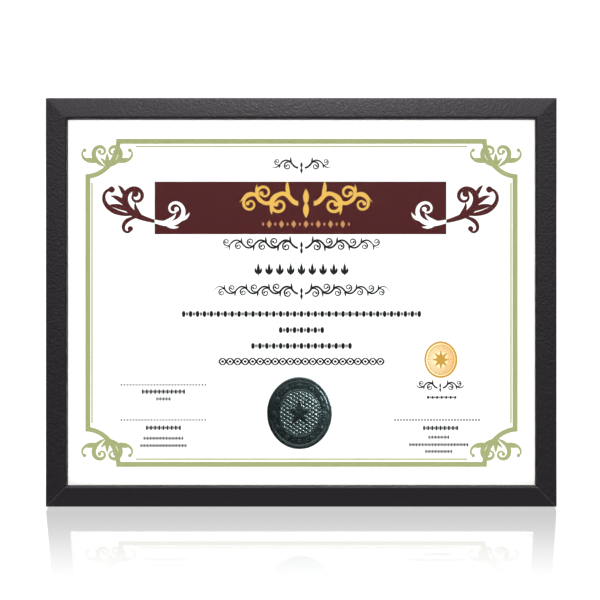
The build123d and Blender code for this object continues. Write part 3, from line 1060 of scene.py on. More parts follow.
@dataclass(frozen=True)
class Stroke:
    """A pen stroke whose bend and width change smoothly along it, and that may end in a ball.

    Bends are in degrees per millimetre and widths in millimetres, both at even steps along the stroke.
    """

    start: Pair
    heading: float
    length: float
    bends: tuple[float, ...]
    widths: tuple[float, ...]
    ball: float = 0.0
    samples: int = 56

    def path(self) -> tuple[np.ndarray, np.ndarray, np.ndarray]:
        """The way the stroke takes: its heading is the bend summed along it.

        Returns:
            The points of its middle line, its heading in degrees at each, and its width at each.
        """
        share = np.linspace(0, 1, self.samples)
        bend = np.interp(share, np.linspace(0, 1, len(self.bends)), self.bends)
        width = np.interp(share, np.linspace(0, 1, len(self.widths)), self.widths)
        soft = np.hanning(9)[1:-1]
        smooth = np.convolve(np.pad(width, 3, mode="edge"), soft / soft.sum(), mode="valid")
        smooth[0], smooth[-1] = width[0], width[-1]
        step = self.length / (self.samples - 1)
        heading = self.heading + np.concatenate([[0], np.cumsum((bend[1:] + bend[:-1]) / 2 * step)])
        mid = np.radians((heading[1:] + heading[:-1]) / 2)
        run = np.stack([np.cos(mid), np.sin(mid)], axis=1) * step
        line = np.array(self.start) + np.vstack([[0, 0], np.cumsum(run, axis=0)])
        return line, heading, np.maximum(smooth, 2 * TIP)

    def at(self, share: float) -> Pair:
        """The point at a share of the length."""
        line = self.path()[0]
        return tuple(line[round(share * (self.samples - 1))].tolist())

    def heading_at(self, share: float) -> float:
        """The heading in degrees at a share of the length."""
        return float(self.path()[1][round(share * (self.samples - 1))])

    def strips(self) -> list[Strip]:
        """Draw the stroke.

        Returns:
            The stroke, and its ball where it has one.
        """
        line, heading, width = self.path()
        turn = np.radians(heading)
        offset = np.stack([-np.sin(turn), np.cos(turn)], axis=1) * (width / 2)[:, None]
        made = [Strip(line + offset, line - offset)]
        if self.ball:
            made.append(Strip.oval(*line[-1], self.ball, self.ball))
        return made


def flourish(
    run: tuple[float, ...], swell: tuple[float, ...], bend: float, width: float, **stroke: object
) -> list[Strip]:
    """A stroke whose bends and widths are shares of a bend and of a width."""
    bends, widths = tuple(bend * k for k in run), tuple(width * k for k in swell)
    return Stroke(bends=bends, widths=widths, **stroke).strips()


def bud(start: Pair, heading: float, length: float, bend: float, width: float) -> list[Strip]:
    """A pointed leaf."""
    run, swell = (0.3, 1.0, 1.6, 2.0), (0.0, 0.75, 1.0, 0.7, 0.0)
    return flourish(run, swell, bend, width, start=start, heading=heading, length=length, samples=28)


def tendril(
    start: Pair, heading: float, length: float, bend: float, width: float, ball: float
) -> list[Strip]:
    """A slender stroke that curls up at its end round a ball."""
    run, swell = (0.1, 0.25, 0.6, 1.0, 1.9, 3.0), (0.0, 0.7, 1.0, 0.85, 0.6, 0.5)
    return flourish(run, swell, bend, width, start=start, heading=heading, length=length, ball=ball)


def volute(start: Pair, heading: float, length: float, bend: float, width: float, ball: float) -> list[Strip]:
    """A spiral that tightens to a ball."""
    run, swell = (1.0, 1.15, 1.5, 2.2, 3.4), (0.0, 1.0, 0.9, 0.7, 0.6)
    return flourish(run, swell, bend, width, start=start, heading=heading, length=length, ball=ball)


def both_sides(strips: list[Strip]) -> list[Strip]:
    """Strips and their mirror images about the upright axis."""
    return strips + [s.scaled(-1, 1) for s in strips]


def banner_scroll() -> list[Strip]:
    """A leafy S-scroll that crosses the banner's end at the origin.

    Returns:
        A large volute outside the banner, a small one within, and what springs from them.
    """
    root = (0, -8.5)
    bends = (-0.2, -1.0, -3.2, -5.6, -7.8, -10.5, -15.0, -23.0)
    outside = Stroke(root, 166, 66, bends, (2.6, 4.0, 5.2, 5.0, 4.0, 3.0, 2.2, 1.6), ball=2.5, samples=96)
    bends = (-0.2, 2.0, 4.6, 6.6, 8.4, 11.0, 17.0, 27.0)
    within = Stroke(root, -14, 52, bends, (2.6, 3.6, 3.8, 3.3, 2.7, 2.1, 1.5, 1.2), ball=1.7, samples=80)
    return [
        *outside.strips(),
        *within.strips(),
        *tendril(outside.at(0.22), 178, 40, -4.4, 4.0, 2.4),
        *tendril(outside.at(0.18), 186, 25, 10.5, 3.2, 2.0),
        *bud(outside.at(0.28), 152, 19, 1.4, 4.2),
        *bud(outside.at(0.36), 128, 16, 2.4, 3.9),
        *bud(outside.at(0.46), 100, 12, 3.4, 3.2),
        *bud(outside.at(0.13), 142, 15, -3.6, 3.2),
        *bud(within.at(0.08), 6, 15, 3.4, 2.8),
        *bud(within.at(0.14), -32, 12, 3.4, 2.5),
        *bud(within.at(0.36), 14, 11, 4.5, 2.4),
    ]


def lyre() -> list[Strip]:
    """Two C-scrolls that spring from one root.

    Returns:
        The scrolls, with a leaf between them and a tendril outside each.
    """
    bends = (0.5, 2.6, 6.5, 9.5, 13.0, 20.0, 34.0)
    scroll = Stroke((0, 0), 24, 38, bends, (0.0, 2.6, 3.8, 3.5, 2.7, 1.8, 1.2), ball=1.5)
    half = [
        *scroll.strips(),
        *tendril(scroll.at(0.22), 2, 20, 7.5, 2.6, 1.45),
        *bud(scroll.at(0.26), 22, 10, -2.0, 2.4),
        *bud((0, 0), 68, 10, -3.0, 2.6),
    ]
    return both_sides(half) + bud((0, 0), 90, 12, 0.0, 3.4)


def rinceau(length: float, height: float, waves: float, width: float, taper: float) -> list[Strip]:
    """A running scroll from the origin towards +X: a waving stem with a volute and a leaf in each hollow.

    The stem's heading is a sine of the way along it, so its bend is a cosine.

    Args:
        length: How far the stem runs, measured along it.
        height: The size of the volutes.
        waves: How many waves the stem makes.
        width: The stem's width at its root.
        taper: How much smaller everything is at the tip.

    Returns:
        The strips.
    """
    per_wave, swing = 10, 52.0
    share = np.arange(int(waves * per_wave) + 1) / per_wave
    bends = tuple((swing * tau * waves / length * np.cos(tau * share)).tolist())
    widths = (*(width * (1 - taper * np.linspace(0, 0.9, 7))).tolist(), 0.0)
    stem = Stroke((0, 0), 0, length, bends, widths, samples=int(waves * 24) + 8)
    made = stem.strips()
    for k in range(int((waves - 0.55) * 2) + 1):
        along = (0.25 + 0.5 * k) / waves
        side = 1 if k % 2 else -1
        size = 1 - taper * along
        root, heading = stem.at(along), stem.heading_at(along)
        curl, lean = side * 77 / size / height, side * -27 / size / height
        made += volute(root, heading, height * 3.6 * size, curl, width * 0.85 * size, width * 0.55 * size)
        made += bud(root, heading - side * 18, height * 1.1 * size, lean, width * size)
    return made


def scroll_row(half: float, height: float, waves: float, width: float, taper: float = 0.45) -> list[Strip]:
    """Two running scrolls from a pointed cross, one to each side.

    Args:
        half: How far each reaches from the middle.
        height: The size of the volutes.
        waves: How many waves each stem makes.
        width: The stems' width at the cross.
        taper: How much smaller everything is at the tips.

    Returns:
        The strips, centred on the origin.
    """
    gap = height * 0.45
    run = rinceau((half - gap) * 1.16, height, waves, width, taper)
    long, thick = height * 0.95, height * 0.36
    cross = [s for up in (-1, 1) for s in bud((0, up * height * 0.1), up * -90, long, 0, thick)]
    return both_sides(shifted(run, gap, 0)) + cross


def bead_row(half: float, height: float, pitch: float) -> list[Strip]:
    """Bead and reel: ovals with a pair of slender lozenges between neighbours.

    Args:
        half: How far the row reaches from its middle.
        height: How high the ovals are.
        pitch: The distance from oval to oval.

    Returns:
        The strips, centred on the origin.
    """
    count = int(2 * half / pitch) // 2
    made = []
    for k in range(-count, count + 1):
        x = k * pitch
        made.append(Strip.oval(x, 0, pitch * 0.27, height / 2, 14))
        if k < count:
            for off in (0.41, 0.59):
                made.append(Strip.lozenge(x + pitch * off, 0, pitch * 0.09, height * 0.48))
    return made


def twist_row(half: float, height: float, waves: int, width: float) -> list[Strip]:
    """Two strands that twist round a row of dots; the strands are a sine and its mirror image.

    Args:
        half: How far the row reaches from its middle.
        height: How high the strands swing in all.
        waves: How many dots there are.
        width: The strands' greatest width.

    Returns:
        The strips, centred on the origin.
    """
    x = np.linspace(-half, half, waves * 28 + 1)
    swing = height / 2
    phase = pi * waves * (x / half + 1) / 2
    widths = width * (0.6 + 0.4 * np.abs(np.cos(phase)))
    made = [Strip.along(np.stack([x, side * swing * np.sin(phase)], 1), widths) for side in (1, -1)]
    for k in range(waves):
        at = (2 * k + 1) / waves - 1
        size = height * 0.19
        made.append(Strip.oval(at * half, 0, size * 1.25, size, 12))
    return made


def dashes(x0: float, x1: float, z: float, dash: float, pitch: float, height: float) -> list[Strip]:
    """A broken line.

    Args:
        x0: Where it starts.
        x1: Where it has ended.
        z: Its middle's height.
        dash: How long a dash is.
        pitch: The distance from dash to dash.
        height: How high the dashes are.

    Returns:
        The dashes.
    """
    count = int((x1 - x0 - dash) / pitch) + 1
    starts = [x0 + k * pitch for k in range(count)]
    return [Strip.bar(x, x + dash, z - height / 2, z + height / 2) for x in starts]


def shifted(strips: list[Strip], x: float, z: float) -> list[Strip]:
    """Strips moved together."""
    return [s.moved(x, z) for s in strips]


@dataclass
class Printing:
    """What is printed on the certificate: films of ink, each thinner than a hair, before the paper.

    Shapes of one ink that belong together are one piece. Running scrolls, twists and bead rows make up the
    lines down the middle.
    """

    shop: Workshop
    paper: float = PAPER_FACE
    film: float = 0.04
    layer: float = 0.0012
    layers: int = 24
    middle: float = 152.33
    border_half_width: float = 162.15
    border_half_height: float = 123.08
    border_width: float = 3.75
    notch: Pair = (23.1, 26.5)
    notch_width: float = 3.55
    notch_steps: int = 40
    line_half_width: float = 157.2
    line_half_height: float = 117.3
    line_width: float = 1.15
    line_reach: Pair = (124.4, 90.2)
    lyre_root: Pair = (145.8, 101.5)
    lyre_scale: float = 0.93
    banner_half_width: float = 109.44
    banner_x: float = BANNER_X
    banner_z: float = 223.55
    banner_height: float = 39.5
    foot_left: float = -103.6
    foot_right: float = 103.0

    def ink(self, name: str, strips: list[Strip], finish: Finish, level: int = 1) -> None:
        """Print strips as one piece, each a touch before the last, so that no two lie in one plane.

        Args:
            name: The piece's name.
            strips: The shapes.
            finish: The ink.
            level: 1 lies on the paper, 2 on top of that, and so on.
        """
        front = self.paper - level * self.film
        rear = self.paper + self.film / 2 if level == 1 else front + self.film * 1.1
        layers = [s.solid(front - k % self.layers * self.layer, rear) for k, s in enumerate(strips)]
        self.shop.piece(name, join(layers), finish, "certificate_paper", merge=False)

    def border(self) -> Strip:
        """The closed band with a hollow quarter of an oval at each corner.

        Returns:
            The band, between the ovals' arcs on its outside and wider arcs on its inside.
        """
        w, h, b = self.border_half_width, self.border_half_height, self.border_width
        (rx, rz), n = self.notch, self.notch_width
        outer, inner = [], []
        turn = np.radians(np.linspace(0, 90, self.notch_steps))
        first, last = np.arcsin(b / (rz + n)), np.arccos(b / (rx + n))
        turn_in = np.linspace(first, last, self.notch_steps)
        for sx, sz, from_side in ((1, 1, False), (1, -1, True), (-1, -1, False), (-1, 1, True)):
            for made, t, ax, az in ((outer, turn, rx, rz), (inner, turn_in, rx + n, rz + n)):
                x, z = w - ax * np.cos(t), h - az * np.sin(t)
                arc = np.stack([sx * x, self.middle + sz * z], axis=1)
                made.append(arc[::-1] if from_side else arc)
        return Strip(np.vstack(outer), np.vstack(inner), True)

    def thin_lines(self) -> list[Strip]:
        """The four hairlines inside the border, which stop short of its corners.

        Returns:
            Two level ones and two upright ones.
        """
        w, h, t = self.line_half_width, self.line_half_height, self.line_width / 2
        across, up = self.line_reach
        made = []
        for sign in (-1, 1):
            z, x = self.middle + sign * h, sign * w
            made.append(Strip.bar(-across, across, z - t, z + t))
            made.append(Strip.bar(x - t, x + t, self.middle - up, self.middle + up))
        return made

    def corners(self) -> list[Strip]:
        """A lyre on each hollow corner.

        Returns:
            The strips of all four.
        """
        quarter = shifted([s.scaled(self.lyre_scale, self.lyre_scale) for s in lyre()], *self.lyre_root)
        half = quarter + [s.scaled(1, -1) for s in quarter]
        return shifted(both_sides(half), 0, self.middle)

    def banner(self) -> None:
        """The maroon bar, the scrolls across its ends and the gold work in its middle."""
        x, z, w, h = self.banner_x, self.banner_z, self.banner_half_width, self.banner_height / 2
        self.ink("print_banner", [Strip.bar(x - w, x + w, z - h, z + h)], MAROON_INK)
        scroll = shifted(banner_scroll(), -w, -1.6)
        self.ink("print_banner_scrolls", shifted(both_sides(scroll), x, z), COUNTER_INK, 2)
        gold_x, gold_z, pips_z, pitch = 3.4, 227.0, 211.4, 9.2
        gold = scroll_row(half=53, height=13.0, waves=1.9, width=3.4, taper=0.35)
        self.ink("print_gold_scrollwork", shifted(gold, gold_x, gold_z), GOLD_INK, 2)
        large, small = (1.9, 2.9), (0.9, 1.5)
        pips = [Strip.lozenge(k * pitch, 0, *large) for k in range(-3, 4)]
        pips += [Strip.lozenge(k * pitch + pitch / 2, 0, *small) for k in range(-4, 4)]
        self.ink("print_gold_pips", shifted(pips, gold_x, pips_z), BRONZE_INK, 2)

    def rows(self) -> None:
        """The black rows down the middle."""
        made = shifted(scroll_row(half=23.3, height=5.4, waves=1.1, width=1.6), 0, 253.7)
        made += shifted(scroll_row(half=62.7, height=5.8, waves=3.1, width=1.7, taper=0.3), 0, 193.6)
        pitch, size = 8.1, 4.9
        for k in range(-4, 5):
            made += shifted(self.fleuron(size), k * pitch, 177.4)
        made += shifted(scroll_row(half=71.5, height=5.6, waves=3.9, width=1.6, taper=0.3), 0, 159.3)
        self.ink("print_black_scroll_rows", made, BLACK_INK)
        beads = self.bead_rows([(0, 144.0, 90.2), (0, 131.9, 19.5), (0, 120.0, 40.5)], height=4.7, pitch=5.2)
        self.ink("print_bead_rows", beads, BLACK_INK)
        bold = shifted(twist_row(half=62, height=5.0, waves=22, width=1.3), 0, 108.3)
        self.ink("print_bold_twist_row", bold, BLACK_INK)

    @staticmethod
    def bead_rows(places: list[Triple], height: float, pitch: float) -> list[Strip]:
        """Rows of like beads; a place is a row's middle in X and Z and half its length."""
        return [s for x, z, half in places for s in shifted(bead_row(half, height, pitch), x, z)]

    @staticmethod
    def fleuron(size: float) -> list[Strip]:
        """A small upright leaf with one leaning to each side.

        Args:
            size: Half its height.

        Returns:
            The strips, centred on the origin.
        """
        made = bud((0, -size), 90, size * 2, 0, size * 0.5)
        for sign in (1, -1):
            made += bud((0, -size * 0.8), 90 - sign * 42, size * 1.25, sign * 7, size * 0.4)
        return made

    def foot(self) -> None:
        """The broken lines for signing and the small rows below them.

        The two lines on the left have coarser dashes than the photograph's, so that the gaps show.
        """
        left, right = self.foot_left, self.foot_right
        lines = []
        for z in (90.8, 64.45):
            lines += dashes(-135.7, -71.4, z, dash=1.1, pitch=2.25, height=1.45)
        lines += dashes(69.6, 135.7, 64.5, dash=1.2, pitch=2.25, height=1.55)
        self.ink("print_signing_lines", lines, BLACK_INK)
        bold = [(left, 85.7, 15.5), (left, 58.6, 15), (right + 1.4, 58.4, 15.3)]
        self.ink("print_foot_bold_rows", self.bead_rows(bold, height=3.8, pitch=3.1), BLACK_INK)
        small = [(left, 80.2, 6), (left, 50.7, 16.3), (left, 45.2, 18)]
        small += [(right, 51.5, 8), (right, 45.9, 23), (right, 40.8, 11)]
        self.ink("print_foot_small_rows", self.bead_rows(small, height=2.9, pitch=2.4), GREY_INK)

    def medal(self) -> None:
        """A printed gold oval: rings round a sunburst with a star."""
        x, z, rx, rz = 104.6, 109.7, 12.4, 13.75
        under, gap, bold, fine = 0.6, 2.3, 1.45, 0.4
        self.ink("print_medal_field", [Strip.oval(x, z, rx - under, rz - under, 48)], MEDAL_INK)
        rings = [Strip.ring(x, z, rx, rz, bold), Strip.ring(x, z, rx - gap, rz - gap, fine)]
        self.ink("print_medal_rings", rings, OLD_GOLD_INK, 2)
        count, near, far, widths = 56, 0.42, 0.8, np.array([0.18, 0.7])
        rays = []
        for a in np.arange(count) * tau / count:
            unit = np.array([cos(a) * rx, sin(a) * rz])
            line = np.array([x, z]) + np.linspace(near, far, 2)[:, None] * unit
            rays.append(Strip.along(line, widths))
        self.ink("print_medal_rays", rays, OCHRE_INK, 2)
        star = Strip.star(x, z, tip=7.6, notch=3.3, count=8, squeeze=rx / rz)
        self.ink("print_medal_star", [star], OLD_GOLD_INK, 3)
        below = shifted(scroll_row(half=19.5, height=4.2, waves=1.3, width=1.3, taper=0.3), x - 0.5, 88.6)
        below += self.bead_rows([(x + 0.6, 81.4, 13.5)], height=2.4, pitch=3.4)
        self.ink("print_medal_scroll", below, BLACK_INK)

    def build(self) -> None:
        """Print everything."""
        self.ink("print_green_border", [self.border()], GREEN_INK)
        self.ink("print_green_lyres", self.corners(), GREEN_INK, 2)
        self.ink("print_pale_lines", self.thin_lines(), PALE_INK)
        self.banner()
        self.rows()
        self.foot()
        self.medal()


@dataclass
class Seal:
    """The embossed foil wafer: a rolled rim, a band of stars and dots, and a beaded dome under a star.

    A place on it is given by its share of the way out to the rim and by its angle.
    """

    shop: Workshop
    x: float = SEAL_MIDDLE[0]
    z: float = SEAL_MIDDLE[1]
    half_width: float = 24.4
    half_height: float = 27.1
    paper: float = PAPER_FACE
    base: float = 0.2
    edge_at: float = 0.985
    rim_height: float = 0.07
    line_height: float = 0.05
    dome_height: float = 0.1
    star_step: float = 0.17
    star_rise: float = 0.1
    rim_at: float = 0.945
    hairline_at: float = 0.885
    marks_at: float = 0.775
    marks_count: int = 24
    ring_at: float = 0.645
    field_ends: float = 0.605
    bead_pitch: float = 2.9
    star_tip: float = 0.40
    star_notch: float = 0.17
    dome_rings: int = 110
    band_rings: int = 81
    rings_meet: float = 0.62
    turns: int = 480

    def mean_radius(self) -> float:
        """The radius of a circle of about the same size."""
        return (self.half_width + self.half_height) / 2

    def marks(self, share: np.ndarray, turn: np.ndarray) -> np.ndarray:
        """Stars and dots in turn round the band, each as high as its edge is far.

        Args:
            share: How far out a point lies, 1 at the rim.
            turn: Its angle.

        Returns:
            Heights in millimetres.
        """
        count, reach = self.marks_count, self.mean_radius()
        index = np.rint(turn / tau * count)
        u = (turn - index * tau / count) * share * reach
        v = (share - self.marks_at) * reach
        far, angle = np.hypot(u, v), np.arctan2(u, v)
        wedge = np.abs((angle / tau * 5 + 0.5) % 1 - 0.5) * 2
        star_reach, hollow, dot, slope, height = 1.75, 1.0, 0.55, 0.4, 0.06
        edge = np.where(index % 2 == 0, star_reach - hollow * wedge, dot)
        return height * np.clip((edge - far) / slope, 0, 1)

    def beads(self, share: np.ndarray, turn: np.ndarray) -> np.ndarray:
        """Round beads packed like a honeycomb: the nearer of two square-cornered lattices, half a step apart.

        They are coarser than a real seal's, so that they show at the size of the picture.

        Args:
            share: How far out a point lies, 1 at the rim.
            turn: Its angle.

        Returns:
            Heights in millimetres.
        """
        radius, height = self.bead_pitch * 0.42, 0.24
        steps = np.array([self.bead_pitch * np.sqrt(3), self.bead_pitch])
        unit = np.stack([np.cos(turn), np.sin(turn)], axis=-1)
        at = unit * (share * self.mean_radius())[..., None] / steps
        near = [np.linalg.norm((at + k - np.rint(at + k)) * steps, axis=-1) for k in (0.0, 0.5)]
        return height * np.sqrt(np.clip(1 - (np.minimum(*near) / radius) ** 2, 0, 1))

    def star(self, share: np.ndarray, turn: np.ndarray) -> np.ndarray:
        """A five-pointed star with a ridge down each point.

        Args:
            share: How far out a point lies, 1 at the rim.
            turn: Its angle.

        Returns:
            Shares of the star's full height.
        """
        tip, notch, half = self.star_tip, self.star_notch, pi / 5
        wedge = np.abs(((turn - pi / 2) / tau * 5 + 0.5) % 1 - 0.5) * tau / 5
        edge = tip * notch * sin(half) / (notch * np.sin(half - wedge) + tip * np.sin(wedge))
        return np.clip(1 - share / edge, 0, 1)

    @staticmethod
    def ridge(share: np.ndarray, at: float, half_width: float) -> np.ndarray:
        """A ridge of height 1 round the seal; it falls off by the square of the way from its crest."""
        return np.clip(1 - ((share - at) / half_width) ** 2, 0, 1)

    def height(self, share: np.ndarray, turn: np.ndarray) -> np.ndarray:
        """The height of the foil above the paper: the sum of what is stamped in each zone.

        Args:
            share: How far out a point lies, 1 at the rim.
            turn: Its angle.

        Returns:
            Heights in millimetres. Zones meet in soft steps.
        """
        outer = np.maximum(share, self.edge_at)
        edge = self.base * np.sqrt(self.ridge(outer, self.edge_at, 1 - self.edge_at))
        rim = self.rim_height * self.ridge(share, self.rim_at, 0.042) ** 0.7
        lines = self.ridge(share, self.ring_at, 0.018) + self.ridge(share, self.hairline_at, 0.01)
        field = np.clip((self.field_ends - share) / 0.01, 0, 1)
        dome = self.dome_height * (1 - (share / 0.61) ** 2)
        star = self.star(share, turn)
        on_star = np.clip(star / 0.04, 0, 1)
        ground = dome + self.beads(share, turn) * (1 - on_star)
        inside = ground + on_star * self.star_step + star * self.star_rise
        outside = self.marks(share, turn) * (1 - field)
        return edge + rim + self.line_height * lines + field * inside + outside

    def build(self) -> bpy.types.Object:
        """Make the wafer.

        Returns:
            The wafer, for the lamp that lights it.
        """
        inner = np.linspace(0, self.rings_meet, self.dome_rings)[:-1]
        share = np.concatenate([inner, np.linspace(self.rings_meet, 1, self.band_rings)])
        turn = np.linspace(0, tau, self.turns + 1)
        s, t = np.meshgrid(share, turn, indexing="ij")
        x, z = s * np.cos(t) * self.half_width, s * np.sin(t) * self.half_height
        top = np.stack([x, -self.height(s, t), z], -1)
        rim = top[-1:].copy()
        rim[..., 1] = 0.0
        back = np.zeros_like(rim)
        surface = grid(np.concatenate([top, rim, back])).moved(self.x, self.paper, self.z)
        node = ("foil_seal",)
        return self.shop.piece("foil_seal_embossed", surface, FOIL, "green_foil", replaces=node, sharp_deg=60)


# Fasteners and fittings


@dataclass
class Hardware:
    """The turn buttons, the hinge, the hanger, and what fastens them."""

    shop: Workshop
    outer_width: float = OUTER_WIDTH
    outer_height: float = OUTER_HEIGHT
    rear: float = DEPTH
    inset: float = 6.0
    button_spacing: float = 210.0
    tack_x: float = 17.5
    bumper_from_side: float = 24.0
    hinge_height: float = 215.0
    rivet_x: float = 10.5
    rivet_from_pin: float = 12.0
    rivet_length: float = 3.0
    leaf: float = 0.8
    pin_depth: float = 15.7
    open_deg: float = 21.0
    strut_outer: float = 16.8

    def screw(self) -> Surface:
        """A pan-head screw with a cross recess.

        The head is a low dome. The recess is two crossed troughs, each deepest in the middle.

        Returns:
            The screw, on the Y axis.
        """
        head_r, head_h, shank_r, length, point = 2.8, 1.5, 1.28, 8.4, 1.5
        crown_r, crown, arris, recess = 2.2, 0.22, 0.6, 0.8
        under = self.rear + 1.0
        rounded = crown_r + arris * np.sin(np.linspace(0, pi / 2, 9))[1:]
        radius = np.concatenate([np.linspace(0, crown_r, 34), rounded])
        turn = np.linspace(0, tau, 97)
        r, t = np.meshgrid(radius, turn, indexing="ij")
        dome = head_h - crown * (np.minimum(r, crown_r) / crown_r) ** 2
        edge = arris * (1 - np.sqrt(np.clip(1 - (np.maximum(r - crown_r, 0) / arris) ** 2, 0, 1)))
        x, z = r * np.cos(t), r * np.sin(t)
        arm = np.maximum(self.trough(x, z), self.trough(z, x))
        top = np.stack([x, under + dome - edge - recess * arm, z], axis=-1)
        tail = under - length
        below = ((head_r, under), (shank_r, under), (shank_r, tail + point), (0.0, tail))
        rows = [np.stack([q * np.cos(turn), np.full_like(turn, y), q * np.sin(turn)], -1) for q, y in below]
        return grid(np.concatenate([top, rows]))

    @staticmethod
    def trough(along: np.ndarray, across: np.ndarray) -> np.ndarray:
        """How deep one arm of the recess is, from 0 to 1."""
        side, end = (0.5 - np.abs(across)) / 0.2, (1.7 - np.abs(along)) / 0.9
        return np.clip(side, 0, 1) * np.clip(end, 0, 1)

    def rivet(self, under: float) -> Surface:
        """A rivet with a low domed head and a dimple in it.

        Args:
            under: The depth of the leaf that its head sits on.

        Returns:
            The rivet, on the Y axis.
        """
        head_r, skirt, crown, shank_r = 2.7, 0.12, 0.78, 1.38
        tail = under - self.leaf - self.rivet_length
        head = [(head_r * sin(a), under + skirt + crown * cos(a)) for a in np.linspace(0.3, pi / 2, 12)]
        dimple = [(0.0, under + 0.62), (0.55, under + 0.66)]
        return lathe([*dimple, *head, (head_r, under), (shank_r, under), (shank_r, tail), (0.0, tail)])

    def tack(self) -> Surface:
        """A flat-headed tack.

        Returns:
            The tack, on the Y axis.
        """
        head_r, skirt, crown, shank_r, length, point = 1.6, 0.3, 0.3, 0.64, 7.3, 1.3
        under = self.rear + 0.7
        head = [(head_r * sin(a), under + skirt + crown * cos(a)) for a in np.linspace(0, pi / 2, 9)]
        tail = under - length
        return lathe([*head, (head_r, under), (shank_r, under), (shank_r, tail + point), (0.0, tail)])

    def bumper(self) -> Surface:
        """A rubber bumper with a rounded top.

        Returns:
            The bumper, on the Y axis.
        """
        radius, top_r, skirt, top = 4.0, 3.96, self.rear + 1.2, self.rear + 2.4
        turn = np.linspace(0.001, 1.55, 16)
        dome = [(top_r * sin(a) ** 0.8, skirt + (top - skirt) * cos(a) ** 0.7) for a in turn]
        return lathe([(0.0, top), *dome, (radius, skirt), (radius, self.rear), (0.0, self.rear)])

    def fasten(
        self, node: str, look: str, solids: list[Surface], finish: Finish, slot: str, body: str = "frame"
    ) -> None:
        """Put finer fasteners in the place of a model node.

        Args:
            node: The model's node.
            look: What its name gains.
            solids: The fasteners in their places.
            finish: What they are dressed in.
            slot: The record's material slot.
            body: The body that they ride on.
        """
        self.shop.piece(f"{node}_{look}", join(solids), finish, slot, body, replaces=(node,))

    def build(self) -> None:
        """Make every fitting."""
        low, high = self.inset, self.outer_height - self.inset
        half = self.button_spacing / 2
        places = [(x, z) for x in (-half, half) for z in (low, high)]
        screws = [self.screw().spun(17 * k + 9).moved(x=x, z=z) for k, (x, z) in enumerate(places)]
        self.fasten("turn_button_screws", "cross", screws, ZINC, "zinc_steel")
        for name in ("bottom_left", "bottom_right", "top_left", "top_right"):
            self.shop.soften(f"turn_button_{name}", ZINC, "zinc_steel", f"button_{name}", 0.18)
        tacks = [self.tack().moved(x=x, z=high) for x in (-self.tack_x, self.tack_x)]
        self.fasten("hanger_tacks", "domed", tacks, TACK_STEEL, "tack_steel")
        self.shop.soften("sawtooth_hanger", ZINC, "zinc_steel", edge_mm=0.12)
        self.shop.soften("hinge_board_leaf", ZINC, "zinc_steel", edge_mm=0.15)
        self.shop.soften("hinge_strut_leaf", ZINC, "zinc_steel", "strut", 0.15)
        self.shop.soften("hinge_pin", ZINC, "zinc_steel", edge_mm=0.2)
        hinge, off = self.hinge_height, self.rivet_from_pin
        sides = (-self.rivet_x, self.rivet_x)
        board = [self.rivet(self.rear + self.leaf).moved(x=x, z=hinge + off) for x in sides]
        self.fasten("hinge_board_rivets", "domed", board, BRASS, "rivet_brass")
        flat = [self.rivet(self.strut_outer + self.leaf).moved(x=x, z=hinge - off) for x in sides]
        strut = [one.hinged(self.open_deg, self.pin_depth, hinge) for one in flat]
        self.fasten("hinge_strut_rivets", "domed", strut, BRASS, "rivet_brass", "strut")
        for side, name in ((-1, "left"), (1, "right")):
            bumper = self.bumper().moved(x=side * (self.outer_width / 2 - self.bumper_from_side), z=low)
            self.fasten(f"wall_bumper_{name}", "round", [bumper], RUBBER, "black_rubber")


# The studio


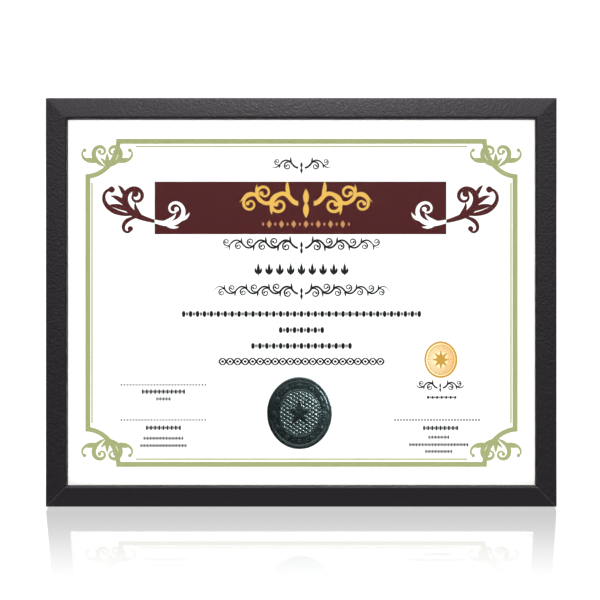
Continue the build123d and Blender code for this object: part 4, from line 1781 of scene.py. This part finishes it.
@dataclass
class Studio:
    """A backlit white table, a dark room with a bright ceiling, soft lights and the camera.

    The fill in front is as if polarised: it lights the print and leaves no shine on the lacquer. The box
    overhead gives nothing but shine, and flags keep one more box to the seal.
    """

    stance: Stance
    seal: bpy.types.Object
    face_width: float = OUTER_WIDTH
    face_height: float = OUTER_HEIGHT
    silhouette_depth: float = 3.2
    distance: float = 1150.0
    camera_right: float = 35.0
    pixels_across: float = 510.9
    image_pixels: float = 600.0
    centre_px: Pair = (301.25, 302.35)
    ceiling_from_deg: float = 13.0
    ceiling_to_deg: float = 17.0
    ceiling_half_width: Pair = (0.55, 0.8)
    overhead_from: Pair = (0.32, 0.42)
    table_mirrored: float = 0.68
    room: float = 0.02
    ceiling: float = 2.5
    backdrop: float = 1.6
    ambient: float = 0.3
    table_glow: float = 1.03
    table_glow_behind: float = 0.7
    table_behind: Pair = (-0.02, 0.06)
    table_mirror: float = 0.43
    table_mirror_behind: float = 0.25
    table_mirror_before: Pair = (-0.205, -0.04)
    table_mirror_aside: Pair = (0.21, 0.32)

    def camera(self) -> None:
        """Look square at the leaning face, and shift the frame to its place in the picture."""
        data = bpy.data.cameras.new("camera")
        obj = new_object("camera", data)
        data.sensor_width = 36.0
        seen_width = self.face_width * self.image_pixels / self.pixels_across
        data.lens = data.sensor_width * self.distance / seen_width
        away = self.silhouette_depth - self.distance
        at = np.array([[self.camera_right, away, self.face_height / 2]])
        obj.location = self.stance.place(at)[0]
        obj.rotation_euler = (pi / 2 - self.stance.lean, 0, 0)
        off_x, off_y = (px / self.image_pixels - 0.5 for px in self.centre_px)
        data.shift_x = -self.camera_right / seen_width - off_x
        data.shift_y = off_y
        data.clip_start = 0.01
        bpy.context.scene.camera = obj

    def table(self) -> None:
        """A white acrylic table, lit from below, that mirrors best just before the frame."""
        mesh = bpy.data.meshes.new("studio_table")
        corners = [(-30, -1.6, 0), (30, -1.6, 0), (30, 60, 0), (-30, 60, 0)]
        mesh.from_pydata(corners, [], [(0, 1, 2, 3)])
        obj = new_object("studio_table", mesh)
        acrylic = bpy.data.materials.new("white_acrylic_table")
        t = Tree(acrylic)
        t.nodes.remove(t.nodes["Principled BSDF"])
        at = t.add("TexCoord", {}, "Object")
        depth = t.add("SeparateXYZ", {0: at}, "Y")
        aside = t.add("Math", {0: t.add("SeparateXYZ", {0: at}, "X")}, operation="ABSOLUTE")
        # The light from below is weaker behind the frame, where lamps light the table too.
        glow = t.add("Emission", {"Strength": self.table_glow})
        dim = t.add("Emission", {"Strength": self.table_glow * self.table_glow_behind})
        matt = t.add("BsdfDiffuse", {"Color": (0.9, 0.9, 0.9, 1)})
        rear = t.add("AddShader", {0: dim, 1: matt})
        start, end = self.table_behind
        behind = t.add("MapRange", {"Value": depth, "From Min": start, "From Max": end})
        lit = t.add("MixShader", {0: behind, 1: glow, 2: rear})
        # The mirror rises towards the frame and falls behind it and beside it.
        mirror = t.add("BsdfGlossy", {"Roughness": 0.03})
        start, end = self.table_mirror_before
        rising = {"Value": depth, "From Min": start, "From Max": end, "To Max": self.table_mirror}
        before = t.add("MapRange", rising, interpolation_type="SMOOTHSTEP")
        fall = t.add("MapRange", {"Value": behind, "To Min": 1.0, "To Max": self.table_mirror_behind})
        start, end = self.table_mirror_aside
        beside = {"Value": aside, "From Min": start, "From Max": end, "To Min": 1.0, "To Max": 0.0}
        edge = t.add("Math", {0: fall, 1: t.add("MapRange", beside)}, operation="MULTIPLY")
        share = t.add("Math", {0: before, 1: edge}, operation="MULTIPLY")
        mixed = t.add("MixShader", {0: share, 1: lit, 2: mirror})
        t.feed(t.nodes["Material Output"], {"Surface": mixed})
        mesh.materials.append(acrylic)
        obj.visible_glossy = False

    def lamp(
        self, name: str, place: Triple, aim: Triple, size: Pair, watts: float, shine: bool, fill: bool
    ) -> bpy.types.Object:
        """One soft box, pointed at a place.

        Args:
            name: Its name.
            place: Where it stands.
            aim: What it is pointed at.
            size: Its width and height.
            watts: Its power.
            shine: Whether glossy surfaces mirror it.
            fill: Whether it lights matt surfaces.

        Returns:
            The lamp.
        """
        data = bpy.data.lights.new(name, "AREA")
        data.shape = "RECTANGLE"
        data.size, data.size_y = size
        data.energy = watts
        obj = new_object(name, data)
        obj.location = place
        obj.rotation_euler = (Vector(aim) - Vector(place)).to_track_quat("-Z", "Y").to_euler()
        obj.visible_glossy = shine
        obj.visible_diffuse = fill
        return obj

    def flag(self, lamp: bpy.types.Object, piece: bpy.types.Object) -> None:
        """Keep a lamp's light off everything but one piece, as black flags do in a studio.

        Args:
            lamp: The lamp.
            piece: What it still lights.
        """
        lit = bpy.data.collections.new(f"{lamp.name}_lights")
        lit.objects.link(piece)
        lamp.light_linking.receiver_collection = lit

    def world(self) -> None:
        """A dark room under a bright ceiling, whose front edge the rails mirror, and a white backdrop.

        The camera sees the backdrop all round, and matt surfaces get an even light in place of the room's.
        """
        world = bpy.data.worlds.new("surround")
        bpy.context.scene.world = world
        t = Tree(world)
        direction = t.add("TexCoord", {}, "Generated")
        up = t.add("SeparateXYZ", {0: direction}, "Z")
        low, high = sin(radians(self.ceiling_from_deg)), sin(radians(self.ceiling_to_deg))
        edge = {"Value": up, "From Min": low, "From Max": high, "To Min": self.room, "To Max": self.ceiling}
        side = t.add("Math", {0: t.add("SeparateXYZ", {0: direction}, "X")}, operation="ABSOLUTE")
        inner, outer = self.ceiling_half_width
        ahead = {"Value": side, "From Min": inner, "From Max": outer, "To Min": 1.0, "To Max": 0.0}
        low, high = self.overhead_from
        overhead = t.add("MapRange", {"Value": up, "From Min": low, "From Max": high})
        wide = t.add("Math", {0: t.add("MapRange", ahead), 1: overhead}, operation="MAXIMUM")
        narrow = t.add("Math", {0: t.add("MapRange", edge), 1: wide}, operation="MULTIPLY")
        table = self.table_mirrored
        under = {"Value": up, "From Min": -0.03, "From Max": 0.0, "To Min": table, "To Max": 0.0}
        front = t.add("Math", {0: narrow, 1: t.add("MapRange", under)})
        depth = t.add("SeparateXYZ", {0: direction}, "Y")
        behind = t.add("MapRange", {"Value": depth, "From Min": -0.1, "From Max": 0.1})
        seen = t.add("Mix", {0: behind, 2: front, 3: self.backdrop})
        matt = t.add("LightPath", {}, "Is Diffuse Ray")
        lit = t.add("Mix", {0: matt, 2: seen, 3: self.ambient})
        share = t.add("Mix", {0: t.add("LightPath", {}, "Is Camera Ray"), 2: lit, 3: self.backdrop})
        t.feed(t.nodes["Background"], {"Color": (1, 1, 1, 1), "Strength": share})

    def build(self) -> None:
        """Set up the stage."""
        self.camera()
        self.table()
        self.world()
        face = (0, 0, 0.15)
        seal = (0, 0, 0.07)
        self.lamp("overhead_box", (0.0, -0.457, 1.02), face, (0.2, 0.51), watts=4.4, shine=True, fill=False)
        self.lamp("front_fill", (0.0, -2.2, 0.78), face, (0.4, 0.3), watts=40.5, shine=False, fill=True)
        box = self.lamp("seal_box", (0.85, -1.2, 0.7), seal, (0.7, 0.7), watts=50.0, shine=True, fill=False)
        self.flag(box, self.seal)
        self.lamp("rear_box", (-0.9, 1.4, 1.2), face, (0.8, 0.8), watts=24.0, shine=True, fill=True)
        bpy.context.scene.view_settings.view_transform = "Standard"


def main() -> None:
    """Build every class in order."""
    logging.basicConfig(level=logging.INFO, format="%(name)s: %(message)s")
    stance = Stance.from_record(frame["record"], DEPTH)
    shop = Workshop(stance, Wardrobe())
    Moulding(shop).build()
    shop.dress("glass", GLAZING)
    shop.dress("certificate", PAPER)
    shop.dress("filler_card", CARD)
    shop.dress("back_board", FIBREBOARD)
    Printing(shop).build()
    seal = Seal(shop).build()
    Hardware(shop).build()
    shop.soften("easel_strut", FIBREBOARD, "brown_board", "strut", 0.35)
    Studio(stance, seal).build()


if __name__ == "__main__":
    main()
